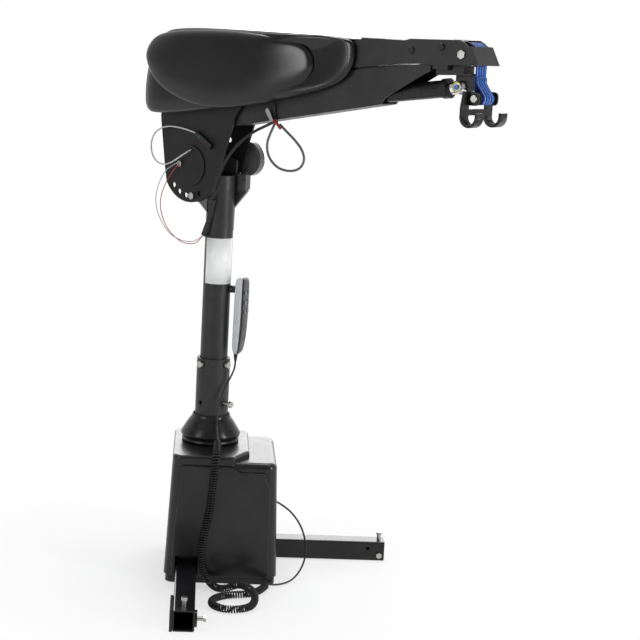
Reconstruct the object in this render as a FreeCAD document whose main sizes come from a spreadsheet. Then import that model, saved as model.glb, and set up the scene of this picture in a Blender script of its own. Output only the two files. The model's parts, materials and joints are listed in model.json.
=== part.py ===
import FreeCAD, Part
import math
import os
import Sketcher
from FreeCAD import Placement, Rotation, Vector

# Truck hoist: a two-legged floor base with a swing drive under a moulded cover,
# a telescoping mast, and a tilting head that carries a power-extended boom with
# a webbing strap and a docking hook. Lengths are in millimetres, angles in degrees.
# Base frame: origin on the floor at the mast axis, +X along the side leg,
# -Y along the near leg, +Z up. Boom frame: the same origin, u along the boom,
# v across it (positive on the far side), z up.

doc = FreeCAD.newDocument("truck_hoist")
sheet = doc.addObject("Spreadsheet::Sheet", "sizes")

SHARED = dict(cut_overrun=5, running_gap=0.3, seat_gap=0.05, shaft_gap=0.08)

LEGS = dict(
    leg_size=44.45, leg_wall=3.2, leg_corner_r=4,
    near_leg_x=-41.8, near_leg_end=445.2, near_leg_back=86,
    side_leg_y=64.4, side_leg_end=409.5,
    clamp_hole_r=4.5, near_clamp_inset=30, near_side_clamp_inset=18, side_clamp_inset=12,
    side_cross_inset=38, side_cross_hole_r=4.2,
    clamp_stem_length=12, clamp_boss_r=17.5, clamp_boss_thick=5, clamp_head_r=7, clamp_head_thick=6,
    doubler_length=92, doubler_thick=6)

BASE = dict(
    pan_thick=6, pan_skirt=20, pan_skirt_thick=3,
    bed_hole_r=5.5, bed_hole_mid_x=66, bed_hole_mid_y=-55, bed_hole_spacing_x=150, bed_hole_spacing_y=120,
    slew_plate_thick=8, slew_plate_right=112, slew_plate_front=92, slew_plate_back=95,
    gearbox_r=60, gearbox_height=74, gearbox_bore_depth=56, gearbox_arm_height=60, gearbox_arm_width=62,
    spindle_r=24, spindle_flange_r=46, spindle_flange_thick=12, spindle_flange_z=183,
    swing_motor_r=29, swing_motor_length=104, swing_motor_x=98)

COVER = dict(
    cover_left=-90, cover_right=155, cover_front=150, cover_back=112, cover_bottom=17,
    cover_shoulder_z=270, cover_platform_z=283, cover_draft=10, cover_corner_r=22, cover_edge_r=13, platform_edge_r=7,
    cover_wall=3.5, platform_right_front=56, platform_right=86, platform_nose_r=9, platform_splay=60,
    boot_hole_r=50, cover_slot_z=62, cover_slot_gap=2.5,
    panel_raise=4, panel_edge_r=2, panel_top_z=262, panel_step_z=250, panel_left_top=-58,
    panel_right_top=119, panel_flare=13,
    tail_gland_r=6, tail_gland_thick=3, tail_gland_y=-62, tail_gland_z=163)

MAST = dict(
    sleeve_r=36.5, sleeve_bore_r=31.2, sleeve_top_z=471,
    upper_mast_r=30.15, upper_mast_bore_r=25.4, upper_mast_bottom_z=300, upper_mast_top_z=874,
    set_bolt_z=459.7, lock_bolt_z=373, bolt_stem_r=4.8, bolt_head_r=7.5, bolt_head_thick=6,
    set_bolt_stand=3, lock_bolt_stand=16,
    boot_top_z=345, boot_shoulder_z=337, boot_wide_z=303, boot_waist_z=292,
    boot_collar_r=40.5, boot_wide_r=65.5, boot_waist_r=61, boot_rim_r=63, boot_wall=3)

HANDSET = dict(
    handset_start=36, handset_back_thick=11, handset_front_thick=22, handset_wide=44,
    handset_top_z=654, handset_bottom_z=484, handset_corner_r=12, handset_edge_r=3,
    rib_wide=4, rib_deep=1.6, rib_pitch=9, peg_z=626, peg_r=8,
    button_r=5.5, button_high=2, button_root=5, button_travel=1.5,
    button_top_z=621, button_pitch=20.5, button_offset=9.5,
    relief_length=17, relief_r=4.4, relief_tip_r=2.6, relief_radial=50)

HEAD = dict(
    pivot_u=-62, pivot_z=889, pivot_shaft_r=14, pivot_disc_r=45, pivot_disc_thick=3, pivot_nut_thick=6,
    cheek_outer=29.5, cheek_thick=5.5, cheek_r=42,
    plate_inner=31, plate_thick=5, plate_r=80, plate_top_z=1150,
    stop_arc_r=66, stop_hole_r=5.8, stop_bolt_r=5.5, stop_head_r=8, stop_head_thick=6,
    index_hole_u=-10.5, index_hole_z=947.5, index_hole_r=6,
    grommet_hole_u=-56, grommet_hole_z=924, grommet_hole_r=4.5,
    terminal_u=-87, terminal_z=891, terminal_r=7, terminal_thick=5,
    lift_motor_u=40, lift_motor_z=911, lift_motor_r=37, lift_motor_length=14, lift_motor_dome=23,
    lift_foot_u=36, lift_foot_half=8, lift_foot_low_z=845, lift_foot_depth=8, packer_r=14,
    gusset_u=54, gusset_top_z=878, gusset_low_z=842, gusset_foot_u=16, gusset_foot_z=801, gusset_tip_z=752)

BOOM = dict(
    slide_u=516.3, slide_z=1167.3, tube_high=25.4, tube_wide=50.8, tube_wall=3.2,
    tube_rear=260, tube_front=92, slide_gap=0.4,
    arm_half=29.5, arm_top_z=1185.5, arm_step_u=387, arm_step_z=1181.3, arm_rear_u=96, arm_front_u=499.8,
    arm_rear_top_z=1128, arm_heel_u=371, arm_heel_z=1125, arm_front_z=1142.2, arm_rear_z=1087.6,
    channel_half=26.5, channel_wall=3, channel_rear_u=53, channel_front_u=558.3, channel_rear_z=983.6,
    channel_rear_top_z=1080.3, channel_top_z=1145.4, channel_tip_z=1132, channel_knee_u=453,
    channel_knee_z=1071.3, channel_heel_u=441.7, channel_heel_z=1057.6,
    actuator_u=583, actuator_z=1098.8, actuator_r=17, actuator_bore_r=12.6, actuator_length=330,
    actuator_collar_r=19.5, actuator_collar_length=14,
    nose_inner=30.2, nose_thick=4.8, nose_bolt_r=7.6, nose_bolt_dome=4,
    nose_bolt_u=587.3, nose_bolt_z=1177.5, guard_thick=2.6,
    roller_u=635.9, roller_z=1165.7, roller_r=20.5, roller_rim_r=23.5, roller_rim_thick=2.4, roller_half=21.5,
    axle_r=6, axle_head_r=9, axle_head_thick=4,
    lug_bar_rear_u=566, lug_bar_front_u=630, lug_bar_half=18, lug_bar_high=19, lug_half=4.5,
    lug_front_u=652, lug_bottom_z=1091,
    clevis_pin_u=615.5, clevis_pin_r=5, clevis_r=13, clevis_slot_half=4.9, clevis_front=15, clevis_back=19,
    rod_r=9.5, rod_length=260, ring_r=10.5, ring_wire_r=1.4)

HOOK = dict(
    strap_wide=36, strap_thick=2.4, strap_bottom_z=1124,
    hook_pin_u=669, hook_pin_z=1085, hook_pin_r=5, hook_pin_half=32.9, hook_pin_head_r=7.6,
    hook_pin_head_thick=3.5, bush_r=9.4, bush_half=22,
    hook_plate_u=650, hook_thick=6, hook_half=50.5, hook_slot_half=29, hook_ear_thick=3.5,
    hook_ear_front_u=680, hook_ear_bottom_z=1072, hook_top_z=1098, hook_shoulder_z=1086,
    hook_bar_top_z=1065, hook_bar_bottom_z=1053, hook_bottom_z=1030.5, hook_curl_r=20.5, hook_tip_z=1059,
    hook_top_half=44)

SHELL = dict(
    shell_wall=3, shell_half=75, shell_rear_u=-176, shell_front_u=387, shell_bottom_z=995.5,
    shell_top_z=1186, shell_slot_half=36.9, cap_start=58, cap_edge_r=4,
    taper_start_u=200, taper_mid_u=330, taper_mid_half=55, taper_front_half=38,
    drum_u=-20, drum_z=1084, drum_shaft_r=8, drum_core_r=16, drum_flange_r=36, drum_flange_thick=3,
    drum_half=22.5, drum_wrap_r=29, winch_case_r=34, winch_case_thick=7, winch_motor_r=27,
    winch_motor_length=28, clip_u=168, clip_z=1010, clip_wide=11, clip_high=30, clip_thick=4,
    clip_ring_r=6, clip_ring_thick=2)

CORDS = dict(
    pendant_lead_r=2, pendant_coil_r=8.6, pendant_tail_r=2, signal_cable_r=1.7, thin_wire_r=0.95,
    harness_r=3, spare_cable_r=2.6, plug_wide=11, plug_thick=8.7,
    plug_rear_u=-42, plug_rear_z=961, plug_front_u=4, plug_front_z=935,
    connector_low_u=-12, connector_low_z=742, connector_mid_u=0, connector_mid_z=770,
    connector_top_u=11, connector_top_z=822)

ANGLES = dict(
    boom_azimuth=43.5, slide_slope=8.17, handset_azimuth=18, stop_first_angle=45, stop_pitch=18.5)

# The head cover's outline as shares of its length and height, anticlockwise from the rear foot
SHELL_SHARES = [
    (0.060, 0), (0.185, 0.037), (0.483, 0.188), (0.675, 0.289), (0.922, 0.475), (1, 0.709), (1, 1),
    (0.156, 1), (0.050, 0.958), (0.011, 0.630), (0, 0.184)]

driving = {}
for table in (SHARED, LEGS, BASE, COVER, MAST, HANDSET, HEAD, BOOM, HOOK, SHELL, CORDS, ANGLES):
    driving.update(table)
for row, (alias, value) in enumerate(driving.items(), start=1):
    sheet.set("A%d" % row, alias)
    sheet.set("B%d" % row, repr(value))
    sheet.setAlias("B%d" % row, alias)
doc.recompute()


class Size:
    """A number with the sheet expression that gives it, so one value drives both."""

    def __init__(self, value, text):
        self.value = value
        self.text = text

    @staticmethod
    def of(other):
        return other if isinstance(other, Size) else Size(float(other), repr(float(other)))

    def join(self, other, sign, value):
        return Size(value, "(%s %s %s)" % (self.text, sign, other.text))

    def __add__(self, other):
        other = Size.of(other)
        return self.join(other, "+", self.value + other.value)

    def __sub__(self, other):
        other = Size.of(other)
        return self.join(other, "-", self.value - other.value)

    def __mul__(self, other):
        other = Size.of(other)
        return self.join(other, "*", self.value * other.value)

    def __truediv__(self, other):
        other = Size.of(other)
        return self.join(other, "/", self.value / other.value)

    def __neg__(self):
        return Size(-self.value, "(0 - %s)" % self.text)

    __rmul__ = __mul__
    __radd__ = __add__

    def __rsub__(self, other):
        return Size.of(other) - self


def s(alias):
    """The named size from the sheet."""
    return Size(float(sheet.get(alias)), "sizes." + alias)


def num(alias):
    """The named size as a plain number."""
    return float(sheet.get(alias))


def trig(alias, function, name):
    """A trigonometric share of a named angle."""
    return Size(function(math.radians(num(alias))), "%s(sizes.%s)" % (name, alias))


ZERO = Size.of(0)
SEAT = s("seat_gap")
RUN = s("running_gap")
OVER = s("cut_overrun")
SLOPE = trig("slide_slope", math.tan, "tan")
SLOPE_COS = trig("slide_slope", math.cos, "cos")
SLOPE_SIN = trig("slide_slope", math.sin, "sin")
parts = []


def bind(thing, prop, size):
    """Sets a property from a size and ties it to the sheet."""
    thing.setExpression(prop, Size.of(size).text)


def register(thing, label, place=None):
    thing.Label = label
    if place is not None:
        thing.Placement = place
    parts.append(thing)
    return thing


# Working frames
BOOM_FRAME = Placement(Vector(), Rotation(Vector(0, 0, 1), -num("boom_azimuth")))
HANDSET_FRAME = Placement(Vector(), Rotation(Vector(0, 0, 1), -num("handset_azimuth")))


def new_body(label, place=None, several=False):
    body = doc.addObject("PartDesign::Body", label)
    body.AllowCompound = several
    return register(body, label, place)


def origin_plane(body, role):
    return next(o for o in body.Origin.OriginFeatures if o.Role == role)


# Sign of each sketch plane's normal along its model axis
PLANE_NORMAL = {"XY_Plane": 1, "XZ_Plane": -1, "YZ_Plane": 1}


def bulged(start, end, radius):
    """The arc from start to end that bulges to the right of the way, to the left if negative."""
    chord = end - start
    right = Vector(chord.y, -chord.x, 0).normalize()
    side = 1 if radius > 0 else -1
    reach = max(abs(radius), chord.Length / 2)
    depth = reach - math.sqrt(reach ** 2 - chord.Length ** 2 / 4)
    centre = (start + end) / 2 + right * side * (depth - reach)
    ends = [start, end] if side > 0 else [end, start]
    angles = [math.atan2(p.y - centre.y, p.x - centre.x) for p in ends]
    if angles[1] < angles[0]:
        angles[1] += 2 * math.pi
    return Part.ArcOfCircle(Part.Circle(centre, Vector(0, 0, 1), reach), angles[0], angles[1])


def end_at(shape, spot):
    """Which end of an edge lies on a spot, as the sketcher numbers them."""
    return 1 if (shape.StartPoint - spot).Length <= (shape.EndPoint - spot).Length else 2


def sketch(body, plane, level, outlines=(), circles=()):
    """A sketch on an origin plane, moved to a level along the model axis.

    An outline is a list of (across, up) or (across, up, bulge radius of the next edge).
    A circle is (across, up, radius)."""
    level = Size.of(level)
    if PLANE_NORMAL[plane] < 0:
        level = -level
    drawing = body.newObject("Sketcher::SketchObject", body.Label + "_sketch")
    drawing.AttachmentSupport = [(origin_plane(body, plane), "")]
    drawing.MapMode = "FlatFace"
    drawing.AttachmentOffset = Placement(Vector(0, 0, level.value), Rotation())
    bind(drawing, "AttachmentOffset.Base.z", level)
    shapes = []
    rules = []
    ties = []

    def tie(kind, size, *where):
        ties.append((len(rules), size))
        rules.append(Sketcher.Constraint(kind, *where, size.value))

    for outline in outlines:
        first = len(shapes)
        corners = [tuple(Size.of(item) for item in corner) for corner in outline]
        spots = [Vector(corner[0].value, corner[1].value, 0) for corner in corners]
        count = len(corners)
        for i, corner in enumerate(corners):
            ends = spots[i], spots[(i + 1) % count]
            curved = len(corner) == 3
            shapes.append(bulged(*ends, corner[2].value) if curved else Part.LineSegment(*ends))
        for i, corner in enumerate(corners):
            here, follow = first + i, first + (i + 1) % count
            joint = spots[(i + 1) % count]
            rules.append(Sketcher.Constraint(
                "Coincident", here, end_at(shapes[here], joint), follow, end_at(shapes[follow], joint)))
            start = end_at(shapes[here], spots[i])
            tie("DistanceX", corner[0], -1, 1, here, start)
            tie("DistanceY", corner[1], -1, 1, here, start)
            if len(corner) < 3:
                continue
            after = corners[(i + 1) % count]
            radius = corner[2] if corner[2].value > 0 else -corner[2]
            chord = joint - spots[i]
            # a half circle's radius follows from its ends, so its centre is tied instead
            if chord.Length < radius.value * 1.999:
                tie("Radius", radius, here)
            elif abs(chord.y) > abs(chord.x):
                tie("DistanceX", (corner[0] + after[0]) / 2, -1, 1, here, 3)
            else:
                tie("DistanceY", (corner[1] + after[1]) / 2, -1, 1, here, 3)
    for circle in circles:
        across, up, radius = (Size.of(item) for item in circle)
        here = len(shapes)
        shapes.append(Part.Circle(Vector(across.value, up.value, 0), Vector(0, 0, 1), radius.value))
        tie("Radius", radius, here)
        tie("DistanceX", across, -1, 1, here, 3)
        tie("DistanceY", up, -1, 1, here, 3)
    drawing.addGeometry(shapes, False)
    drawing.addConstraint(rules)
    for index, size in ties:
        drawing.setExpression("Constraints[%d]" % index, size.text)
    return drawing


def pad(body, plane, low, high, outlines=(), circles=()):
    """Adds material between two levels along the plane's model axis."""
    low, high = Size.of(low), Size.of(high)
    start = low if PLANE_NORMAL[plane] > 0 else high
    feature = body.newObject("PartDesign::Pad", body.Label + "_pad")
    feature.Profile = sketch(body, plane, start, outlines, circles)
    bind(feature, "Length", high - low)
    body.Tip = feature
    return feature


def pocket(body, plane, low, high, outlines=(), circles=()):
    """Removes material between two levels along the plane's model axis."""
    low, high = Size.of(low), Size.of(high)
    start = high if PLANE_NORMAL[plane] > 0 else low
    feature = body.newObject("PartDesign::Pocket", body.Label + "_pocket")
    feature.Profile = sketch(body, plane, start, outlines, circles)
    bind(feature, "Length", high - low)
    body.Tip = feature
    return feature


def turn(body, plane, outline, across=ZERO, up=ZERO, level=ZERO, axis="V_Axis"):
    """Turns an outline about a sketch axis through (across, up) on the plane."""
    drawing = sketch(body, plane, level, [outline])
    bind(drawing, "AttachmentOffset.Base.x", across)
    bind(drawing, "AttachmentOffset.Base.y", up)
    feature = body.newObject("PartDesign::Revolution", body.Label + "_turn")
    feature.Profile = drawing
    feature.ReferenceAxis = (drawing, [axis])
    feature.Angle = 360
    body.Tip = feature
    return feature


def loft(body, kind, sections):
    """A straight loft between sketches."""
    feature = body.newObject(kind, body.Label + "_loft")
    feature.Profile = sections[0]
    feature.Sections = sections[1:]
    feature.Ruled = True
    body.Tip = feature
    return feature


def fillet(body, radius, wanted):
    """Rounds the edges of the body's last feature that the test accepts."""
    doc.recompute()
    base = body.Tip
    names = ["Edge%d" % (i + 1) for i, edge in enumerate(base.Shape.Edges) if wanted(edge.BoundBox)]
    feature = body.newObject("PartDesign::Fillet", body.Label + "_fillet")
    feature.Base = (base, names)
    bind(feature, "Radius", radius)
    body.Tip = feature
    return feature


def box_outline(left, right, low, high):
    return [(left, low), (right, low), (right, high), (left, high)]


def rounded_outline(left, right, low, high, radius):
    """A box outline with arcs at its corners, anticlockwise."""
    return [
        (left + radius, low), (right - radius, low, radius),
        (right, low + radius), (right, high - radius, radius),
        (right - radius, high), (left + radius, high, radius),
        (left, high - radius), (left, low + radius, radius)]


def hexagon(across, up, radius):
    turns = [math.radians(60 * k + 30) for k in range(6)]
    return [(across + radius * math.cos(t), up + radius * math.sin(t)) for t in turns]


def scaled_outline(shares, left, right, low, high):
    """An outline from a table of shares of a length and a height."""
    return [(left + (right - left) * a, low + (high - low) * b) for a, b in shares]


def length_of(across, up):
    """The length of a slanted line from its two reaches."""
    return Size(math.hypot(across.value, up.value), "sqrt(%s ^ 2 + %s ^ 2)" % (across.text, up.text))


def slanted_box(start, end, half):
    """A band from one point to another, half as thick each way."""
    across, up = end[0] - start[0], end[1] - start[1]
    share = half / length_of(across, up)
    out_u, out_z = up * share, -across * share
    return [
        (start[0] + out_u, start[1] + out_z), (end[0] + out_u, end[1] + out_z),
        (end[0] - out_u, end[1] - out_z), (start[0] - out_u, start[1] - out_z)]


def slide_height(u):
    """Height of the boom's sliding axis above the floor at u."""
    return s("slide_z") + (u - s("slide_u")) * SLOPE


def slanted_outline(start, end, half):
    """A band along the boom's sliding axis, half as thick each way."""
    rise = half / SLOPE_COS
    return [
        (start, slide_height(start) - rise), (end, slide_height(end) - rise),
        (end, slide_height(end) + rise), (start, slide_height(start) + rise)]


# Base: legs and clamp screws

HALF_LEG = s("leg_size") / 2
NEAR_LEFT = s("near_leg_x") - HALF_LEG
NEAR_RIGHT = s("near_leg_x") + HALF_LEG
SIDE_NEAR = s("side_leg_y") - HALF_LEG
SIDE_FAR = s("side_leg_y") + HALF_LEG
NEAR_END = -s("near_leg_end")
NEAR_CLAMP_Y = NEAR_END + s("near_clamp_inset")
NEAR_SIDE_CLAMP_Y = NEAR_END + s("near_side_clamp_inset")
SIDE_CLAMP_X = s("side_leg_end") - s("side_clamp_inset")
SIDE_CROSS_X = s("side_leg_end") - s("side_cross_inset")
SIDE_CLAMP_Z = HALF_LEG * 0.62
NUT_FACE = NEAR_RIGHT + s("clamp_boss_thick")


def square_leg(label, plane, centre, low, high):
    """A square tube lying on the floor, open at its outer end."""
    body = new_body(label)
    wall = s("leg_wall")
    outer_r = s("leg_corner_r")
    outer = rounded_outline(centre - HALF_LEG, centre + HALF_LEG, ZERO, s("leg_size"), outer_r)
    inner = rounded_outline(
        centre - HALF_LEG + wall, centre + HALF_LEG - wall, wall, s("leg_size") - wall, outer_r - wall)
    pad(body, plane, low, high, [outer, inner])
    return body


def legs():
    """The two square tubes, the near one with its doubler and the nut plate of its clamp screw."""
    near = square_leg("near_leg", "XZ_Plane", s("near_leg_x"), NEAR_END, s("near_leg_back"))
    front = NEAR_END - s("doubler_thick") / 3
    pad(near, "XZ_Plane", front, front + s("doubler_length"), [
        box_outline(NEAR_LEFT - s("doubler_thick"), NEAR_LEFT, ZERO, s("leg_size"))])
    pad(near, "YZ_Plane", NEAR_RIGHT, NUT_FACE, circles=[(NEAR_SIDE_CLAMP_Y, HALF_LEG, s("clamp_boss_r"))])
    pocket(near, "XY_Plane", HALF_LEG, s("leg_size") + OVER,
           circles=[(s("near_leg_x"), NEAR_CLAMP_Y, s("clamp_hole_r"))])
    pocket(near, "YZ_Plane", s("near_leg_x"), NUT_FACE + OVER,
           circles=[(NEAR_SIDE_CLAMP_Y, HALF_LEG, s("clamp_hole_r"))])
    side = square_leg("side_leg", "YZ_Plane", s("side_leg_y"), NEAR_RIGHT + SEAT, s("side_leg_end"))
    pocket(side, "XY_Plane", HALF_LEG, s("leg_size") + OVER,
           circles=[(SIDE_CLAMP_X, s("side_leg_y"), s("clamp_hole_r"))])
    pocket(side, "XZ_Plane", SIDE_NEAR - OVER, s("side_leg_y"),
           circles=[(SIDE_CLAMP_X, SIDE_CLAMP_Z, s("clamp_hole_r"))])
    pocket(side, "XZ_Plane", SIDE_NEAR - OVER, SIDE_FAR + OVER,
           circles=[(SIDE_CROSS_X, HALF_LEG * 1.3, s("side_cross_hole_r"))])


def clamp_screws():
    """Four headed set screws that grip what slides into the legs."""
    body = new_body("clamp_screws", several=True)
    stem, head = s("clamp_hole_r") - SEAT, s("clamp_head_r")
    reach, thick = s("clamp_stem_length"), s("clamp_head_thick")
    top = s("leg_size")
    tops = [(s("near_leg_x"), NEAR_CLAMP_Y), (SIDE_CLAMP_X, s("side_leg_y"))]
    pad(body, "XY_Plane", top - s("leg_wall"), top + reach, circles=[(x, y, stem) for x, y in tops])
    pad(body, "XY_Plane", top + reach, top + reach + thick, [hexagon(x, y, head) for x, y in tops])
    pad(body, "YZ_Plane", NEAR_RIGHT - s("leg_wall"), NUT_FACE + reach,
        circles=[(NEAR_SIDE_CLAMP_Y, HALF_LEG, stem)])
    pad(body, "YZ_Plane", NUT_FACE + reach, NUT_FACE + reach + thick,
        [hexagon(NEAR_SIDE_CLAMP_Y, HALF_LEG, head)])
    pad(body, "XZ_Plane", SIDE_NEAR - SEAT, SIDE_NEAR + s("leg_wall"),
        circles=[(SIDE_CLAMP_X, SIDE_CLAMP_Z, stem)])
    pad(body, "XZ_Plane", SIDE_NEAR - SEAT - thick, SIDE_NEAR - SEAT,
        [hexagon(SIDE_CLAMP_X, SIDE_CLAMP_Z, head)])


# Base: floor pan and swing drive

PAN_LEFT = s("cover_left") + s("cover_wall") + RUN
PAN_RIGHT = s("cover_right") - s("cover_wall") - RUN
PAN_FRONT = -s("cover_front") + s("cover_wall") + RUN
PAN_BACK = s("cover_back") - s("cover_wall") - RUN


def floor_pan():
    """A folded tray with an upturned skirt, notched round the two legs."""
    body = new_body("base_pan", several=True)
    corner = s("cover_corner_r") - s("cover_wall")
    skirt = s("pan_skirt_thick")
    pad(body, "XY_Plane", ZERO, s("pan_skirt"),
        [rounded_outline(PAN_LEFT, PAN_RIGHT, PAN_FRONT, PAN_BACK, corner)])
    pocket(body, "XY_Plane", s("pan_thick"), s("pan_skirt") + OVER, [rounded_outline(
        PAN_LEFT + skirt, PAN_RIGHT - skirt, PAN_FRONT + skirt, PAN_BACK - skirt, corner - skirt)])
    notches = [
        box_outline(NEAR_LEFT - SEAT, NEAR_RIGHT + SEAT, PAN_FRONT - OVER, s("near_leg_back") + SEAT),
        box_outline(NEAR_RIGHT, PAN_RIGHT + OVER, SIDE_NEAR - SEAT, SIDE_FAR + SEAT)]
    for notch in notches:
        pocket(body, "XY_Plane", -OVER, s("pan_skirt") + OVER, [notch])
    half_x, half_y = s("bed_hole_spacing_x") / 2, s("bed_hole_spacing_y") / 2
    holes = [(s("bed_hole_mid_x") + half_x * i, s("bed_hole_mid_y") + half_y * j, s("bed_hole_r"))
             for i in (-1, 1) for j in (-1, 1)]
    pocket(body, "XY_Plane", -OVER, s("pan_thick") + OVER, circles=holes)


SLEW_LOW = s("leg_size") + SEAT
SLEW_TOP = SLEW_LOW + s("slew_plate_thick")
GEARBOX_LOW = SLEW_TOP + SEAT
GEARBOX_TOP = GEARBOX_LOW + s("gearbox_height")
GEARBOX_ARM_TOP = GEARBOX_LOW + s("gearbox_arm_height")
SPINDLE_LOW = GEARBOX_TOP - s("gearbox_bore_depth") + RUN
FLANGE_TOP = s("spindle_flange_z") + s("spindle_flange_thick")


def swing_drive():
    """The slew plate, the worm gearbox and its upright motor."""
    plate = new_body("slew_plate")
    pad(plate, "XY_Plane", SLEW_LOW, SLEW_TOP, [box_outline(
        NEAR_LEFT, s("slew_plate_right"), -s("slew_plate_front"), s("slew_plate_back"))])
    box = new_body("swing_gearbox")
    pad(box, "XY_Plane", GEARBOX_LOW, GEARBOX_TOP, circles=[(ZERO, ZERO, s("gearbox_r"))])
    half = s("gearbox_arm_width") / 2
    pad(box, "XY_Plane", GEARBOX_LOW, GEARBOX_ARM_TOP, [[
        (ZERO, -half), (s("swing_motor_x"), -half, half), (s("swing_motor_x"), half), (ZERO, half)]])
    pocket(box, "XY_Plane", GEARBOX_TOP - s("gearbox_bore_depth"), GEARBOX_TOP + OVER,
           circles=[(ZERO, ZERO, s("spindle_r") + s("shaft_gap"))])
    motor = new_body("swing_motor")
    low = GEARBOX_ARM_TOP + SEAT
    top = low + s("swing_motor_length")
    r = s("swing_motor_r")
    turn(motor, "XZ_Plane", [
        (ZERO, low), (r, low), (r, top - r * 0.2, r * 0.2), (r * 0.8, top), (ZERO, top)],
        across=s("swing_motor_x"))


def cover_ring(share, inset=ZERO):
    """The cover's footprint at a share of its drafted height."""
    draft = s("cover_draft") * share
    return rounded_outline(
        s("cover_left") + draft + inset, s("cover_right") - draft - inset,
        -s("cover_front") + draft * 0.3 + inset, s("cover_back") - draft * 0.6 - inset,
        s("cover_corner_r") - inset)


def platform_outline(inset=ZERO):
    """The raised platform round the mast: square on the left, splayed on the right."""
    draft, radius = s("cover_draft"), s("cover_corner_r") - inset
    left = s("cover_left") + draft + inset
    front = -s("cover_front") + draft * 0.3 + inset
    back = s("cover_back") - draft * 0.6 - inset
    right_front, right = s("platform_right_front") - inset, s("platform_right") - inset
    nose_r = s("platform_nose_r")
    return [
        (left + radius, front), (right_front - nose_r, front, nose_r), (right_front, front + nose_r),
        (right, front + s("platform_splay")), (right, back - radius, radius), (right - radius, back),
        (left + radius, back, radius), (left, back - radius), (left, front + radius, radius)]


def panel_outline():
    """The raised face of the cover: flared towards the floor, stepped down on the right."""
    flare, mid = s("panel_flare"), s("platform_right_front")
    top, step, low = s("panel_top_z"), s("panel_step_z"), s("cover_bottom")
    left, right = s("panel_left_top"), s("panel_right_top")
    return [
        (left - flare * 1.2, low), (right + flare * 1.3, low), (right + flare, step - flare * 3),
        (right, step), (mid + flare, step), (mid - flare / 2, top), (left, top), (left - flare, top * 0.45)]


def base_cover():
    """A drafted tub over the drive, with a raised platform round the mast."""
    body = new_body("base_cover")
    wall, edge = s("cover_wall"), s("cover_edge_r")
    shoulder, crown, low = s("cover_shoulder_z"), s("cover_platform_z"), s("cover_bottom")
    loft(body, "PartDesign::AdditiveLoft", [
        sketch(body, "XY_Plane", low, [cover_ring(0)]), sketch(body, "XY_Plane", shoulder, [cover_ring(1)])])
    gland_z = s("tail_gland_z")
    side = s("cover_right") - s("cover_draft") * ((gland_z - low) / (shoulder - low))
    pad(body, "YZ_Plane", side - wall, side + s("tail_gland_thick"),
        circles=[(s("tail_gland_y"), gland_z, s("tail_gland_r"))])
    fillet(body, edge, lambda box: box.ZMin > shoulder.value - 0.01)
    pad(body, "XY_Plane", shoulder - edge * 1.2, crown, [platform_outline()])
    fillet(body, s("platform_edge_r"), lambda box: box.ZMin > crown.value - 0.01)
    face = -s("cover_front") - s("panel_raise")
    pad(body, "XZ_Plane", face, -s("cover_front") + s("cover_draft") * 0.3 + wall / 2, [panel_outline()])
    fillet(body, s("panel_edge_r"), lambda box: box.YMax < face.value + 0.01)
    # the roof inside stays low enough to leave a wall under the rounded shoulder
    roof = shoulder - wall * 2.2
    loft(body, "PartDesign::SubtractiveLoft", [
        sketch(body, "XY_Plane", low - OVER, [cover_ring(0, wall)]),
        sketch(body, "XY_Plane", roof, [cover_ring(1, wall)])])
    pocket(body, "XY_Plane", roof - OVER, crown - wall, [platform_outline(wall * 1.5)])
    pocket(body, "XY_Plane", crown - wall - OVER, crown + OVER, circles=[(ZERO, ZERO, s("boot_hole_r"))])
    gap = s("cover_slot_gap")
    pocket(body, "XZ_Plane", face - OVER, ZERO, [
        box_outline(NEAR_LEFT - gap, NEAR_RIGHT + gap, ZERO, s("cover_slot_z"))])
    pocket(body, "YZ_Plane", ZERO, s("cover_right") + OVER, [
        box_outline(SIDE_NEAR - gap, SIDE_FAR + gap, ZERO, s("leg_size") + gap)])


# Mast: swinging sleeve, spindle and boot

PLUG_TOP = FLANGE_TOP + s("spindle_flange_thick") * 2


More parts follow.
